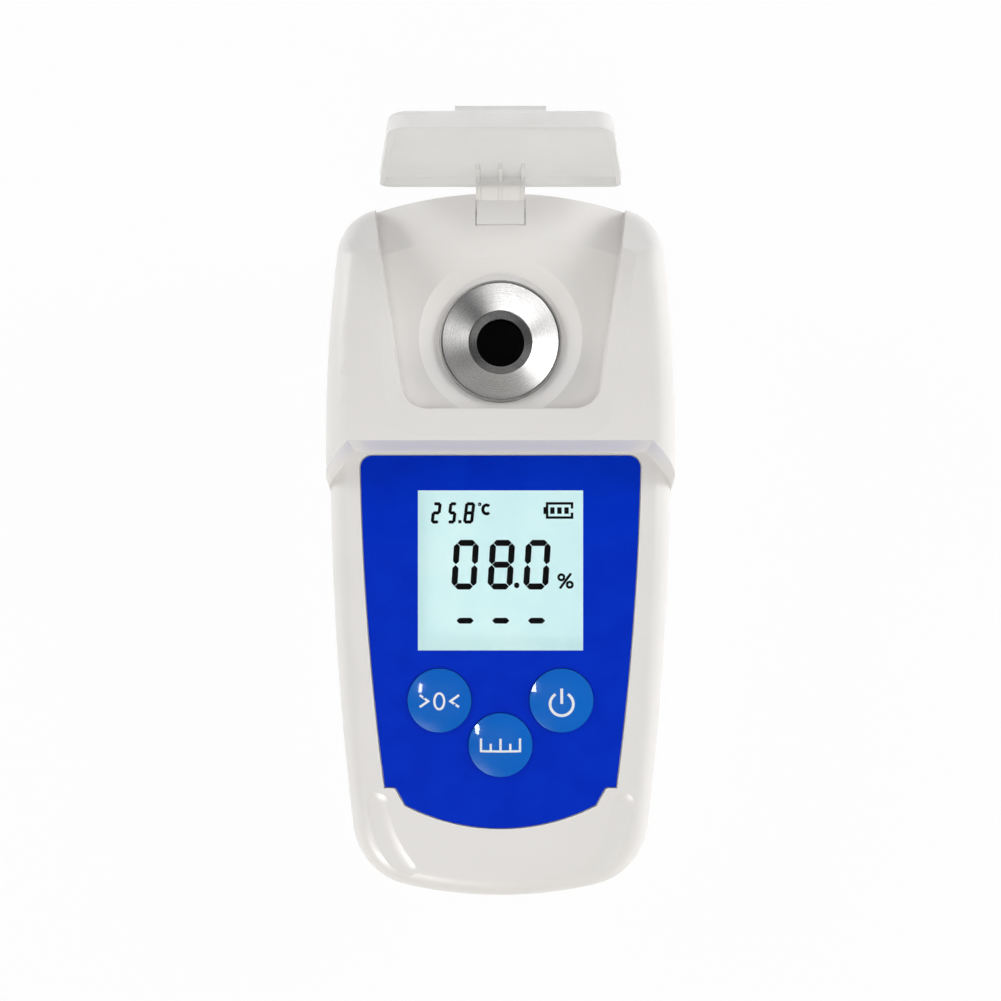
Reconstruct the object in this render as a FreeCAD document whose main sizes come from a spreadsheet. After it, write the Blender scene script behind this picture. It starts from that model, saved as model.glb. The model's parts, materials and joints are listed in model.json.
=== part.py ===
"""A pocket digital refractometer lying on its back, with its sample lid standing open.

Millimetres. The origin lies on the flat back, about its middle, +Z points out of the face,
+Y points to the lid's end and +X to the right of the display.
"""
import FreeCAD, Part
import math
import os
import Sketcher
from types import SimpleNamespace

# Driving dimensions
DRIVING = {
    # housing plan
    "top_end_y": 57.0,
    "bottom_end_y": -56.0,
    "body_width": 54.9,
    "widest_y": 17.6,
    "top_corner_half": 24.9,
    "top_rise": 5.0,
    "top_corner_round": 7.6,
    "bottom_corner_half": 22.8,
    "bottom_rise": 4.05,
    "bottom_corner_round": 11.0,
    # housing heights and walls
    "parting_height": 10.0,
    "panel_height": 20.5,
    "head_height": 25.0,
    "edge_round": 3.6,
    "end_round": 3.0,
    "back_round": 4.0,
    "wall": 2.0,
    "ceiling_height": 18.0,
    "cavity_top_y": 46.5,
    "post_root": 0.5,
    "pilot_cover": 0.6,
    # head
    "ridge_y": 45.7,
    "slope_drop": 5.5,
    "slope_run": 9.8,
    "step_y": 16.8,
    "step_half": 23.6,
    "step_taper": 20.0,
    # lid recess
    "recess_floor_height": 20.0,
    "recess_bottom_y": 21.75,
    "recess_bottom_half": 15.1,
    "recess_spread": 0.15,
    "recess_corner_round": 4.3,
    "recess_runout": 3.0,
    "floor_bend_y": 49.5,
    "floor_slope": 0.35,
    "bevel_depth": 0.6,
    "bevel_side": 2.4,
    "bevel_bottom": 4.2,
    # sample ring and its dish
    "ring_y": 32.9,
    "ring_rim_radius": 9.7,
    "ring_step_radius": 5.15,
    "well_radius": 3.85,
    "ring_rim_height": 19.75,
    "ring_seat_height": 18.0,
    "ring_step_height": 17.9,
    "well_land_height": 17.3,
    "ring_land": 0.9,
    "spigot_radius": 8.5,
    "spigot_wall": 1.3,
    "spigot_bottom_height": 15.0,
    "dish_radius": 13.0,
    "dish_depth": 1.0,
    "dish_shift": 0.5,
    "ring_boss_radius": 12.5,
    "ring_boss_bottom": 16.2,
    "ring_rim_chamfer": 0.25,
    "ring_rim_flat": 0.25,
    "close_fit": 0.05,
    # front overlay and window
    "overlay_thickness": 0.4,
    "overlay_bed_depth": 0.5,
    "overlay_gap": 0.15,
    "overlay_top_y": 14.6,
    "overlay_top_half": 22.2,
    "overlay_top_round": 1.9,
    "overlay_side_round": 460.0,
    "overlay_notch_y": -37.9,
    "overlay_notch_half": 18.3,
    "overlay_tongue_half": 16.6,
    "overlay_tongue_foot": 15.05,
    "overlay_tongue_y": -40.7,
    "overlay_notch_round": 0.8,
    "overlay_bottom_rise": 3.7,
    "window_width": 26.2,
    "window_length": 25.4,
    "window_y": -3.6,
    "window_thickness": 1.4,
    "window_margin": 0.9,
    "window_ledge": 0.9,
    # keys
    "key_radius": 5.05,
    "key_gap": 0.2,
    "key_film_gap": 0.07,
    "key_dome": 0.65,
    "key_rim": 0.25,
    "key_flange": 0.8,
    "key_flange_thickness": 0.5,
    "key_flange_gap": 0.2,
    "key_travel": 0.35,
    "side_key_x": 9.65,
    "side_key_y": -24.15,
    "middle_key_y": -31.2,
    # foot
    "valley_radius": 19.6,
    "valley_y": -38.5,
    "valley_round": 4.5,
    "valley_depth": 0.35,
    "valley_sweep": 34.0,
    "valley_start": 6.0,
    # lid and hinge
    "hinge_inset": 3.0,
    "hinge_depth": 1.485,
    "pin_radius": 0.8,
    "pin_length": 13.0,
    "pin_clearance": 0.05,
    "pin_press_gap": 0.02,
    "pin_end_gap": 0.1,
    "barrel_radius": 3.4,
    "barrel_gap": 0.15,
    "barrel_sink": 0.08,
    "arm_width": 7.7,
    "arm_gap": 0.12,
    "arm_thickness": 1.6,
    "lid_rim_gap": 0.2,
    "lid_side_gap": 0.25,
    "lid_end_gap": 0.35,
    "lid_depth": 2.34,
    "lid_plate": 1.0,
    "lid_rim_wall": 0.9,
    "lid_start": 3.06,
    "lid_corner_round": 3.2,
    "lid_edge_round": 0.6,
    "lid_heel_round": 1.8,
    "rib_width": 0.6,
    "rib_spread": 3.45,
    "rib_length": 8.0,
    "rib_height": 0.8,
    "grip_width": 12.2,
    "grip_height": 2.0,
    "grip_depth": 0.7,
    # battery bay
    "bay_end_gap": 3.9,
    "bay_top_y": -4.4,
    "bay_half": 6.2,
    "bay_wall": 1.2,
    "bay_height": 12.5,
    "bay_floor": 3.6,
    "cover_half": 8.5,
    "cover_gap": 0.2,
    "cover_thickness": 1.8,
    "cover_top_y": -3.2,
    "cover_tongue": 0.9,
    "cover_tongue_thickness": 0.8,
    "cover_grip_pitch": 1.8,
    "cover_grip_depth": 0.4,
    "cover_grip_width": 0.9,
    "cover_grip_start": 4.0,
    "cover_grip_count": 5,
    "cell_radius": 5.25,
    "cell_length": 43.5,
    "cell_centre_height": 7.7,
    "cell_nub_radius": 1.9,
    "cell_nub_length": 1.0,
    "cell_shoulder": 0.6,
    "contact_thickness": 0.4,
    "contact_side_gap": 0.6,
    "contact_leg_half": 1.2,
    "spring_turns": 4,
    "spring_wire": 0.35,
    "spring_radius": 3.0,
    # boards and display
    "board_thickness": 1.2,
    "board_bottom_height": 13.0,
    "board_half": 20.5,
    "board_top_y": 14.0,
    "board_bottom_y": -42.0,
    "board_post_radius": 2.2,
    "board_screw_radius": 0.85,
    "board_screw_head": 1.6,
    "board_screw_head_height": 1.0,
    "board_corner": 2.0,
    "screw_hole_gap": 0.15,
    "screw_end_gap": 0.6,
    "board_screw_x": 17.6,
    "board_screw_top_y": 4.0,
    "board_screw_bottom_y": -38.6,
    "glass_width": 30.0,
    "glass_length": 28.6,
    "glass_thickness": 1.9,
    "backlight_thickness": 1.4,
    "strip_width": 2.2,
    "strip_gap": 0.2,
    "switch_size": 6.0,
    "switch_height": 2.0,
    "plunger_radius": 1.5,
    "plunger_gap": 0.05,
    "chip_size": 7.0,
    "chip_thickness": 1.0,
    "chip_gap": 1.0,
    # case fastening
    "case_screw_top_x": 20.0,
    "case_screw_top_y": 41.0,
    "case_screw_bottom_x": 15.8,
    "case_screw_bottom_y": -46.5,
    "case_post_radius": 2.7,
    "case_screw_radius": 1.0,
    "case_head_radius": 2.0,
    "case_head_height": 1.3,
    "slot_reach": 1.3,
    "slot_half": 0.22,
    "counterbore_radius": 2.2,
    "counterbore_depth": 2.1,
    "gasket_inset": 0.7,
    "gasket_width": 0.7,
    "gasket_depth": 0.8,
    # optics
    "block_half_length": 17.0,
    "block_half_width": 8.5,
    "block_bottom_height": 4.5,
    "block_top_height": 14.8,
    "prism_size": 9.6,
    "prism_gap": 0.2,
    "prism_height": 6.0,
    "prism_band": 2.2,
    "prism_foot": 2.4,
    "seal_round": 0.5,
    "seal_radius": 4.6,
    "ring_seal_round": 0.6,
    "lamp_radius": 2.5,
    "lamp_height": 11.3,
    "lamp_length": 8.0,
    "lens_radius": 3.0,
    "lens_thickness": 1.2,
    "lens_edge": 0.4,
    "lens_gap": 0.4,
    "optics_board_thickness": 1.2,
    "optics_board_reach": 5.2,
    "sensor_length": 10.0,
    "sensor_height": 3.0,
    "sensor_thickness": 1.4,
    "sensor_gap": 0.2,
    "ribbon_thickness": 0.15,
    "ribbon_height": 3.2,
    "ribbon_drop": 0.2,
    "ribbon_overlap": 4.0,
    "socket_width": 3.0,
    "socket_length": 4.0,
    "socket_inset": 1.0,
    "block_screw_x": 14.2,
    "block_screw_offset": 6.2,
    "probe_radius": 0.9,
    "probe_height": 1.4,
}

# How far cutting tools run past what they cut, and how closely edges are matched
OVERRUN = 1.0
TOLERANCE = 0.01
TINY = 1e-6

doc = FreeCAD.newDocument("Refractometer")
pieces = []


# Sizes tied to the sheet
class Size:
    """A length together with the sheet expression that gives it."""

    def __init__(self, value, text):
        self.value = value
        self.text = text

    def join(self, other, sign, value):
        return Size(value, f"({self.text} {sign} {as_size(other).text})")

    def __add__(self, other):
        return self.join(other, "+", self.value + as_size(other).value)

    def __sub__(self, other):
        return self.join(other, "-", self.value - as_size(other).value)

    def __mul__(self, other):
        return self.join(other, "*", self.value * as_size(other).value)

    def __truediv__(self, other):
        return self.join(other, "/", self.value / as_size(other).value)

    def __radd__(self, other):
        return as_size(other) + self

    def __rsub__(self, other):
        return as_size(other) - self

    def __rmul__(self, other):
        return as_size(other) * self

    def __neg__(self):
        return Size(-self.value, f"(-1 * {self.text})")


def as_size(item):
    """A plain number as a Size."""
    if isinstance(item, Size):
        return item
    return Size(float(item), f"({float(item)})")


def make_sheet():
    """The sheet of driving dimensions, one alias a row."""
    sheet = doc.addObject("Spreadsheet::Sheet", "Dimensions")
    for row, (alias, value) in enumerate(DRIVING.items(), start=1):
        sheet.set(f"A{row}", alias.replace("_", " "))
        sheet.set(f"B{row}", str(value))
        sheet.setAlias(f"B{row}", alias)
    doc.recompute()
    return SimpleNamespace(**{
        alias: Size(float(value), f"Dimensions.{alias}") for alias, value in DRIVING.items()
    })


dim = make_sheet()


def floor_height(y):
    """The height of the lid recess's sloping floor at a place along it."""
    return dim.recess_floor_height - dim.floor_slope * (y - dim.floor_bend_y)


# The lid turns about a line set in from the end and down from the sloping floor
dim.hinge_y = dim.top_end_y - dim.hinge_inset
dim.hinge_height = floor_height(dim.hinge_y) - dim.hinge_depth
dim.bay_bottom_y = dim.bottom_end_y + dim.bay_end_gap


def bind(item, path, size):
    """Tie one property of an object to the sheet."""
    item.setExpression(path, as_size(size).text)


def place(item, x, y, z):
    """Tie an object's place to the sheet."""
    bind(item, "Placement.Base.x", x)
    bind(item, "Placement.Base.y", y)
    bind(item, "Placement.Base.z", z)


def piece(item, label):
    """Mark an object as a finished piece, under its own label."""
    item.Label = label
    pieces.append(item)
    return item


# Primitives and booleans
def box(name, low, sides):
    """A block from its low corner and its three sides."""
    block = doc.addObject("Part::Box", name)
    place(block, *low)
    for path, size in zip(("Length", "Width", "Height"), sides):
        bind(block, path, size)
    return block


def span_box(name, x_span, y_span, z_span):
    """A block between two planes along each axis."""
    spans = (x_span, y_span, z_span)
    return box(name, [low for low, high in spans], [as_size(high) - low for low, high in spans])


def cylinder(name, centre, radius, height, axis="Z"):
    """A cylinder from the middle of its low end, along Z, or along X or Y."""
    rod = doc.addObject("Part::Cylinder", name)
    turns = {
        "X": FreeCAD.Rotation(FreeCAD.Vector(0, 1, 0), 90),
        "Y": FreeCAD.Rotation(FreeCAD.Vector(1, 0, 0), -90),
        "Z": FreeCAD.Rotation(),
    }
    rod.Placement = FreeCAD.Placement(FreeCAD.Vector(), turns[axis])
    place(rod, *centre)
    bind(rod, "Radius", radius)
    bind(rod, "Height", height)
    return rod


def fuse(name, shapes):
    """Several objects joined into one."""
    joined = doc.addObject("Part::MultiFuse", name)
    joined.Shapes = shapes
    return joined


def cut(name, base, tools):
    """One object less one or more others."""
    result = doc.addObject("Part::Cut", name)
    result.Base = base
    result.Tool = tools[0] if len(tools) == 1 else fuse(name + "Tools", tools)
    return result


def common(name, first, second):
    """What two objects share."""
    result = doc.addObject("Part::Common", name)
    result.Base = first
    result.Tool = second
    return result


def group(name, shapes):
    """Separate solids kept together in one node."""
    result = doc.addObject("Part::Compound", name)
    result.Links = shapes
    return result


# Bodies, sketches and features
def new_body(name):
    return doc.addObject("PartDesign::Body", name)


def new_sketch(body, name, role, offset=0):
    """A sketch on one of the body's own origin planes, moved along the plane's normal."""
    sketch = body.newObject("Sketcher::SketchObject", name)
    plane = next(item for item in body.Origin.OriginFeatures if item.Role == role)
    sketch.AttachmentSupport = [(plane, "")]
    sketch.MapMode = "FlatFace"
    bind(sketch, "AttachmentOffset.Base.z", offset)
    return sketch


def fix(sketch, kind, first, second, size):
    """Add one driving constraint tied to the sheet."""
    size = as_size(size)
    geometry = first + second + (size.value,)
    index = sketch.addConstraint(Sketcher.Constraint(kind, *geometry))
    bind(sketch, f"Constraints[{index}]", size)


def arc_edge(start, end, radius):
    """The arc from start to end, outward of a counter-clockwise outline when radius is positive."""
    middle = (start + end) * 0.5
    along = end - start
    left = FreeCAD.Vector(-along.y, along.x, 0).normalize()
    height = math.sqrt(radius * radius - along.Length * along.Length / 4)
    centre = middle + left * math.copysign(height, radius)
    first = math.atan2(start.y - centre.y, start.x - centre.x)
    last = math.atan2(end.y - centre.y, end.x - centre.x)
    if radius < 0:
        first, last = last, first
    circle = Part.Circle(centre, FreeCAD.Vector(0, 0, 1), abs(radius))
    return Part.ArcOfCircle(circle, first, last)


def draw(sketch, corners):
    """Draw a closed outline: each corner is (x, y) or (x, y, radius of the edge that leaves it)."""
    spots = [FreeCAD.Vector(as_size(corner[0]).value, as_size(corner[1]).value, 0)
             for corner in corners]
    edges = []
    for index, corner in enumerate(corners):
        start = spots[index]
        end = spots[(index + 1) % len(corners)]
        radius = corner[2] if len(corner) > 2 else None
        line = radius is None
        shape = Part.LineSegment(start, end) if line else arc_edge(start, end, radius.value)
        turned = radius is not None and radius.value < 0
        edges.append((sketch.addGeometry(shape), 2 if turned else 1, 1 if turned else 2))
    for index, (edge, first_end, last_end) in enumerate(edges):
        following = edges[(index + 1) % len(edges)]
        joint = Sketcher.Constraint("Coincident", edge, last_end, following[0], following[1])
        sketch.addConstraint(joint)
        corner = corners[index]
        fix(sketch, "DistanceX", (-1, 1), (edge, first_end), corner[0])
        fix(sketch, "DistanceY", (-1, 1), (edge, first_end), corner[1])
        if len(corner) > 2:
            outward = corner[2] if corner[2].value > 0 else -corner[2]
            fix(sketch, "Radius", (edge,), (), outward)


def draw_circle(sketch, x, y, radius):
    """Draw a circle tied to the sheet."""
    centre = FreeCAD.Vector(as_size(x).value, as_size(y).value, 0)
    circle = Part.Circle(centre, FreeCAD.Vector(0, 0, 1), as_size(radius).value)
    edge = sketch.addGeometry(circle)
    fix(sketch, "DistanceX", (-1, 1), (edge, 3), x)
    fix(sketch, "DistanceY", (-1, 1), (edge, 3), y)
    fix(sketch, "Radius", (edge,), (), radius)


def rectangle(x_span, y_span):
    """The four corners of a rectangle, counter-clockwise."""
    (left, right), (low, high) = x_span, y_span
    return [(left, low), (right, low), (right, high), (left, high)]


def feature(body, kind, name, sketch, length, both_ways=False, backwards=False, taper=None):
    """A pad or a pocket of a sketch."""
    made = body.newObject(f"PartDesign::{kind}", name)
    made.Profile = sketch
    made.SideType = "Symmetric" if both_ways else "One side"
    made.Reversed = backwards
    bind(made, "Length", length)
    if taper is not None:
        bind(made, "TaperAngle", taper)
    doc.recompute()
    return made


def revolve(body, name, sketch):
    """A full turn of a sketch about its own vertical axis."""
    made = body.newObject("PartDesign::Revolution", name)
    made.Profile = sketch
    made.ReferenceAxis = (sketch, ["V_Axis"])
    made.Angle = 360
    doc.recompute()
    return made


def edges_where(item, test):
    """The names of an object's edges that pass a test."""
    shape = item.Shape
    return [f"Edge{number}" for number, edge in enumerate(shape.Edges, start=1) if test(edge)]


def dress(body, kind, name, base, test, size):
    """A fillet or a chamfer on the edges that pass a test."""
    made = body.newObject(f"PartDesign::{kind}", name)
    made.Base = (base, edges_where(base, test))
    bind(made, "Radius" if kind == "Fillet" else "Size", size)
    doc.recompute()
    return made


def is_upright(edge):
    """True for a straight edge along Z."""
    extent = edge.BoundBox
    return extent.XLength + extent.YLength < TINY and extent.ZLength > TINY


def upright_at(half, y):
    """A test for upright edges at one distance from the middle plane and one place along it."""
    return lambda edge: (
        is_upright(edge)
        and abs(abs(edge.Vertexes[0].X) - abs(half.value)) < TOLERANCE
        and abs(edge.Vertexes[0].Y - y.value) < TOLERANCE
    )


def root(size):
    """The square root of a Size."""
    return Size(math.sqrt(size.value), f"sqrt({size.text})")


def cosine(degrees):
    """The cosine of a Size in degrees."""
    degrees = as_size(degrees)
    return Size(math.cos(math.radians(degrees.value)), f"cos({degrees.text} * 1 deg)")


def sine(degrees):
    """The sine of a Size in degrees."""
    degrees = as_size(degrees)
    return Size(math.sin(math.radians(degrees.value)), f"sin({degrees.text} * 1 deg)")


def chord_radius(half_chord, rise):
    """The radius of an arc from half its chord and its rise."""
    return (half_chord * half_chord + rise * rise) / (2 * rise)


# Outlines
def body_outline(inset=0):
    """The housing's plan, from its upper right corner counter-clockwise, drawn in all round."""
    top_half = dim.top_corner_half - inset
    bottom_half = dim.bottom_corner_half - inset
    widest = dim.body_width / 2 - inset
    top_y = dim.top_end_y - dim.top_rise - inset
    bottom_y = dim.bottom_end_y + dim.bottom_rise + inset
    top_arc = chord_radius(top_half, dim.top_rise)
    bottom_arc = chord_radius(bottom_half, dim.bottom_rise)
    upper_side = chord_radius(top_y - dim.widest_y, widest - top_half)
    lower_side = chord_radius(dim.widest_y - bottom_y, widest - bottom_half)
    return [
        (top_half, top_y, top_arc),
        (-top_half, top_y, upper_side),
        (-widest, dim.widest_y, lower_side),
        (-bottom_half, bottom_y, bottom_arc),
        (bottom_half, bottom_y, lower_side),
        (widest, dim.widest_y, upper_side),
    ]


def housing_prism(name, low, high, inset=0):
    """A body of the housing's plan between two heights, with its four corners rounded."""
    body = new_body(name)
    sketch = new_sketch(body, name + "Outline", "XY_Plane", low)
    outline = body_outline(inset)
    draw(sketch, outline)
    pad = feature(body, "Pad", name + "Pad", sketch, high - low)
    top = dress(body, "Fillet", name + "TopCorners", pad, upright_at(*outline[0][:2]),
                dim.top_corner_round - inset)
    bottom = dress(body, "Fillet", name + "BottomCorners", top, upright_at(*outline[4][:2]),
                   dim.bottom_corner_round - inset)
    return body, bottom


def recess_half(y):
    """Half the lid recess's width at a place along it."""
    return dim.recess_bottom_half + dim.recess_spread * (y - dim.recess_bottom_y)


def recess_outline(side, bottom, corner=None):
    """The lid recess's plan, widened at its sides and its bottom, running out past the end."""
    radius = corner or dim.recess_corner_round
    bottom_y = dim.recess_bottom_y - bottom
    end_y = dim.top_end_y + dim.recess_runout
    end_half = recess_half(end_y) + side
    lean = root(1 + dim.recess_spread * dim.recess_spread)
    centre_x = recess_half(bottom_y) + side + dim.recess_spread * radius - radius * lean
    touch_x = centre_x + radius / lean
    touch_y = bottom_y + radius - radius * dim.recess_spread / lean
    return [
        (end_half, end_y),
        (-end_half, end_y),
        (-touch_x, touch_y, radius),
        (-centre_x, bottom_y),
        (centre_x, bottom_y, radius),
        (touch_x, touch_y),
    ]


def overlay_outline(grow=0):
    """The front overlay's plan, with the tongue that ends it, grown all round."""
    top_y = dim.overlay_top_y + grow
    top_half = dim.overlay_top_half + grow
    notch_half = dim.overlay_notch_half + grow
    notch_y = dim.overlay_notch_y - grow
    tongue_half = dim.overlay_tongue_half + grow
    foot_half = dim.overlay_tongue_foot + grow
    foot_y = dim.overlay_tongue_y - grow
    side = dim.overlay_side_round
    return [
        (top_half, top_y),
        (-top_half, top_y, side),
        (-notch_half, notch_y),
        (-tongue_half, notch_y),
        (-foot_half, foot_y, chord_radius(foot_half, dim.overlay_bottom_rise)),
        (foot_half, foot_y),
        (tongue_half, notch_y),
        (notch_half, notch_y, side),
    ]


def key_places():
    """The three keys' names and places."""
    return {
        "zero": (-dim.side_key_x, dim.side_key_y),
        "measure": (as_size(0), dim.middle_key_y),
        "power": (dim.side_key_x, dim.side_key_y),
    }


def case_screw_places():
    """The four places where screws hold the housing's halves together."""
    top = [(side * dim.case_screw_top_x, dim.case_screw_top_y) for side in (-1, 1)]
    bottom = [(side * dim.case_screw_bottom_x, dim.case_screw_bottom_y) for side in (-1, 1)]
    return top + bottom


def board_screw_places():
    """The four places where screws hold the main board to its posts."""
    rows = (dim.board_screw_top_y, dim.board_screw_bottom_y)
    return [(side * dim.board_screw_x, y) for y in rows for side in (-1, 1)]


# Front housing
def on_slope_rim(edge):
    """True for the edges round the head's slope, apart from its ridge."""
    fall = dim.slope_drop.value / dim.slope_run.value
    spots = [edge.valueAt(edge.FirstParameter + (edge.LastParameter - edge.FirstParameter) * share)
             for share in (0.1, 0.5, 0.9)]
    heights = [dim.head_height.value - fall * (spot.y - dim.ridge_y.value) for spot in spots]
    on_plane = all(abs(spot.z - height) < 2 * TOLERANCE for spot, height in zip(spots, heights))
    return on_plane and edge.BoundBox.YLength > TINY


def head_form():
    """The raised head: sides rounded over, end sloping down, cut off at the step."""
    body, last = housing_prism("Head", dim.parting_height, dim.head_height)
    low = dim.head_height.value - TOLERANCE
    dress(body, "Fillet", "HeadRounding", last, lambda edge: edge.BoundBox.ZMin > low, dim.edge_round)
    slope = new_sketch(body, "HeadSlopeProfile", "YZ_Plane")
    far = 2 * dim.slope_run
    draw(slope, [
        (dim.ridge_y, dim.head_height),
        (dim.ridge_y + far, dim.head_height - 2 * dim.slope_drop),
        (dim.ridge_y + far, dim.head_height + OVERRUN),
        (dim.ridge_y, dim.head_height + OVERRUN),
    ])
    sloped = feature(body, "Pocket", "HeadSlope", slope, 2 * dim.body_width, both_ways=True)
    dress(body, "Fillet", "SlopeRounding", sloped, on_slope_rim, dim.end_round)
    step = new_sketch(body, "StepOutline", "XY_Plane", dim.head_height)
    reach = dim.body_width
    far_y = dim.step_y - (reach - dim.step_half)
    draw(step, [
        (dim.step_half, dim.step_y),
        (-dim.step_half, dim.step_y),
        (-reach, far_y),
        (-reach, 2 * dim.bottom_end_y),
        (reach, 2 * dim.bottom_end_y),
        (reach, far_y),
    ])
    feature(body, "Pocket", "Step", step, dim.head_height - dim.parting_height + OVERRUN,
            taper=-dim.step_taper)
    return body


def panel_form():
    """The lower part that carries the overlay, with the two valleys of the foot."""
    body, last = housing_prism("Panel", dim.parting_height, dim.panel_height)
    low = dim.parting_height.value + OVERRUN
    dress(body, "Fillet", "PanelRounding", last,
          lambda edge: edge.BoundBox.ZMin > low and not is_upright(edge), dim.edge_round)
    trim = new_sketch(body, "PanelTrimOutline", "XY_Plane", dim.panel_height)
    draw(trim, rectangle((-dim.body_width, dim.body_width), (dim.step_y + OVERRUN, 2 * dim.top_end_y)))
    feature(body, "Pocket", "PanelTrim", trim, dim.panel_height - dim.parting_height + OVERRUN)
    return body


def foot_valleys():
    """Two shallow valleys that curve in beside the foot, each with rounded ends."""
    valleys = []
    starts = {
        "Left": 180 + dim.valley_start,
        "Right": 360 - dim.valley_start - dim.valley_sweep,
    }
    height = dim.panel_height + dim.valley_round - dim.valley_depth
    for name, start in starts.items():
        valley = doc.addObject("Part::Torus", name + "Valley")
        bind(valley, "Radius1", dim.valley_radius)
        bind(valley, "Radius2", dim.valley_round)
        bind(valley, "Angle3", dim.valley_sweep)
        place(valley, 0, dim.valley_y, height)
        bind(valley, "Placement.Rotation.Angle", start)
        valleys.append(valley)
        for number, turn in enumerate((start, start + dim.valley_sweep), start=1):
            end = doc.addObject("Part::Sphere", f"{name}ValleyEnd{number}")
            bind(end, "Radius", dim.valley_round)
            x = dim.valley_radius * cosine(turn)
            y = dim.valley_y + dim.valley_radius * sine(turn)
            place(end, x, y, height)
            valleys.append(end)
    return valleys


def recess_space():
    """Everything above the lid recess's plan."""
    space = new_body("RecessSpace")
    sketch = new_sketch(space, "RecessOutline", "XY_Plane", dim.parting_height)
    draw(sketch, recess_outline(0, 0))
    feature(space, "Pad", "RecessPad", sketch, dim.head_height)
    return space


def lid_recess(space):
    """The space the lid closes into: flat floor, then a floor that slopes to the end."""
    floor = new_body("RecessFloor")
    profile = new_sketch(floor, "FloorProfile", "XZ_Plane")
    end_radius = chord_radius(dim.top_corner_half, dim.top_rise)
    centre_y = dim.top_end_y - end_radius
    bend = dim.floor_bend_y - centre_y
    far = end_radius + 2 * dim.recess_runout
    low = dim.parting_height - OVERRUN
    draw(profile, [
        (0, low),
        (far, low),
        (far, dim.recess_floor_height - dim.floor_slope * (far - bend)),
        (bend, dim.recess_floor_height),
        (0, dim.recess_floor_height),
    ])
    revolve(floor, "FloorTurn", profile)
    bind(floor, "Placement.Base.y", centre_y)
    return cut("LidRecess", space, [floor])


def recess_bevel():
    """The shallow bevel that leads down to the recess's edge."""
    body = new_body("RecessBevel")
    upper = new_sketch(body, "BevelUpper", "XY_Plane", dim.head_height + TOLERANCE)
    draw(upper, recess_outline(dim.bevel_side, dim.bevel_bottom))
    lower = new_sketch(body, "BevelLower", "XY_Plane", dim.head_height - dim.bevel_depth)
    draw(lower, recess_outline(0, 0))
    loft = body.newObject("PartDesign::AdditiveLoft", "BevelLoft")
    loft.Profile = lower
    loft.Sections = [upper]
    loft.Ruled = True
    doc.recompute()
    return body


def dish_and_ring_hole(space):
    """The shallow dish round the sample ring, the ring's seat and the hole for its spigot."""
    dish = new_body("Dish")
    profile = new_sketch(dish, "DishProfile", "XZ_Plane")
    floor = dim.recess_floor_height
    inner = dim.ring_rim_radius + dim.dish_shift
    draw(profile, [
        (0, floor - dim.dish_depth),
        (inner, floor - dim.dish_depth),
        (dim.dish_radius, floor),
        (dim.dish_radius, floor + OVERRUN),
        (0, floor + OVERRUN),
    ])
    revolve(dish, "DishTurn", profile)
    bind(dish, "Placement.Base.y", dim.ring_y + dim.dish_shift)
    seat = cylinder("RingSeat", (0, dim.ring_y, dim.ring_seat_height),
                    dim.ring_rim_radius + dim.close_fit, dim.head_height)
    hole = cylinder("RingHole", (0, dim.ring_y, dim.parting_height),
                    dim.spigot_radius + dim.close_fit, dim.head_height)
    return [common("DishInRecess", dish, space), seat, hole]


def hinge_cuts():
    """The round pocket for the lid's barrel, the notch for its arm and the holes for its pin."""
    half = dim.arm_width / 2 + dim.arm_gap
    pocket_radius = dim.barrel_radius + dim.barrel_gap
    pocket = cylinder("BarrelPocket", (-half, dim.hinge_y, dim.hinge_height), pocket_radius, 2 * half, "X")
    notch = span_box("ArmNotch", (-half, half), (dim.hinge_y, 2 * dim.top_end_y),
                     (dim.hinge_height - pocket_radius, dim.head_height + OVERRUN))
    pin_half = dim.pin_length / 2 + dim.pin_end_gap
    holes = cylinder("PinHoles", (-pin_half, dim.hinge_y, dim.hinge_height),
                     dim.pin_radius + dim.pin_press_gap, 2 * pin_half, "X")
    return [pocket, notch, holes]


def panel_cuts():
    """The overlay's bed, the window's opening with its ledge, and the key holes."""
    bed = new_body("OverlayBed")
    sketch = new_sketch(bed, "BedOutline", "XY_Plane", dim.panel_height - dim.overlay_bed_depth)
    outline = overlay_outline(dim.overlay_gap)
    draw(sketch, outline)
    pad = feature(bed, "Pad", "BedPad", sketch, dim.overlay_bed_depth + OVERRUN)
    notched = dress(bed, "Fillet", "BedNotches", pad, upright_at(*outline[3]),
                    dim.overlay_notch_round - dim.overlay_gap)
    dress(bed, "Fillet", "BedCorners", notched, upright_at(*outline[0][:2]),
          dim.overlay_top_round + dim.overlay_gap)
    half = dim.window_width / 2 + dim.window_margin + dim.overlay_gap
    half_length = dim.window_length / 2 + dim.window_margin + dim.overlay_gap
    ledge = dim.panel_height - dim.overlay_bed_depth - dim.window_thickness
    frame = span_box("WindowSeat", (-half, half),
                     (dim.window_y - half_length, dim.window_y + half_length), (ledge, dim.head_height))
    inner = half - dim.window_ledge
    inner_length = half_length - dim.window_ledge
    opening = span_box("WindowOpening", (-inner, inner),
                       (dim.window_y - inner_length, dim.window_y + inner_length),
                       (dim.parting_height, dim.head_height))
    holes = [cylinder(name.title() + "KeyHole", (x, y, dim.parting_height),
                      dim.key_radius + dim.key_gap, dim.head_height)
             for name, (x, y) in key_places().items()]
    return [bed, frame, opening] + holes


def posts(name, places, low, radius):
    """Round posts that hang from the front housing's ceiling."""
    return [cylinder(f"{name}{number}", (x, y, low), radius, dim.ceiling_height - low + dim.post_root)
            for number, (x, y) in enumerate(places, start=1)]


def pilot_holes(name, places, low, radius):
    """Blind holes, up from under a post's foot, that screws bite into."""
    start = low - OVERRUN
    height = dim.ceiling_height - dim.pilot_cover - start
    return [cylinder(f"{name}{number}", (x, y, start), radius, height)
            for number, (x, y) in enumerate(places, start=1)]


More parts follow.
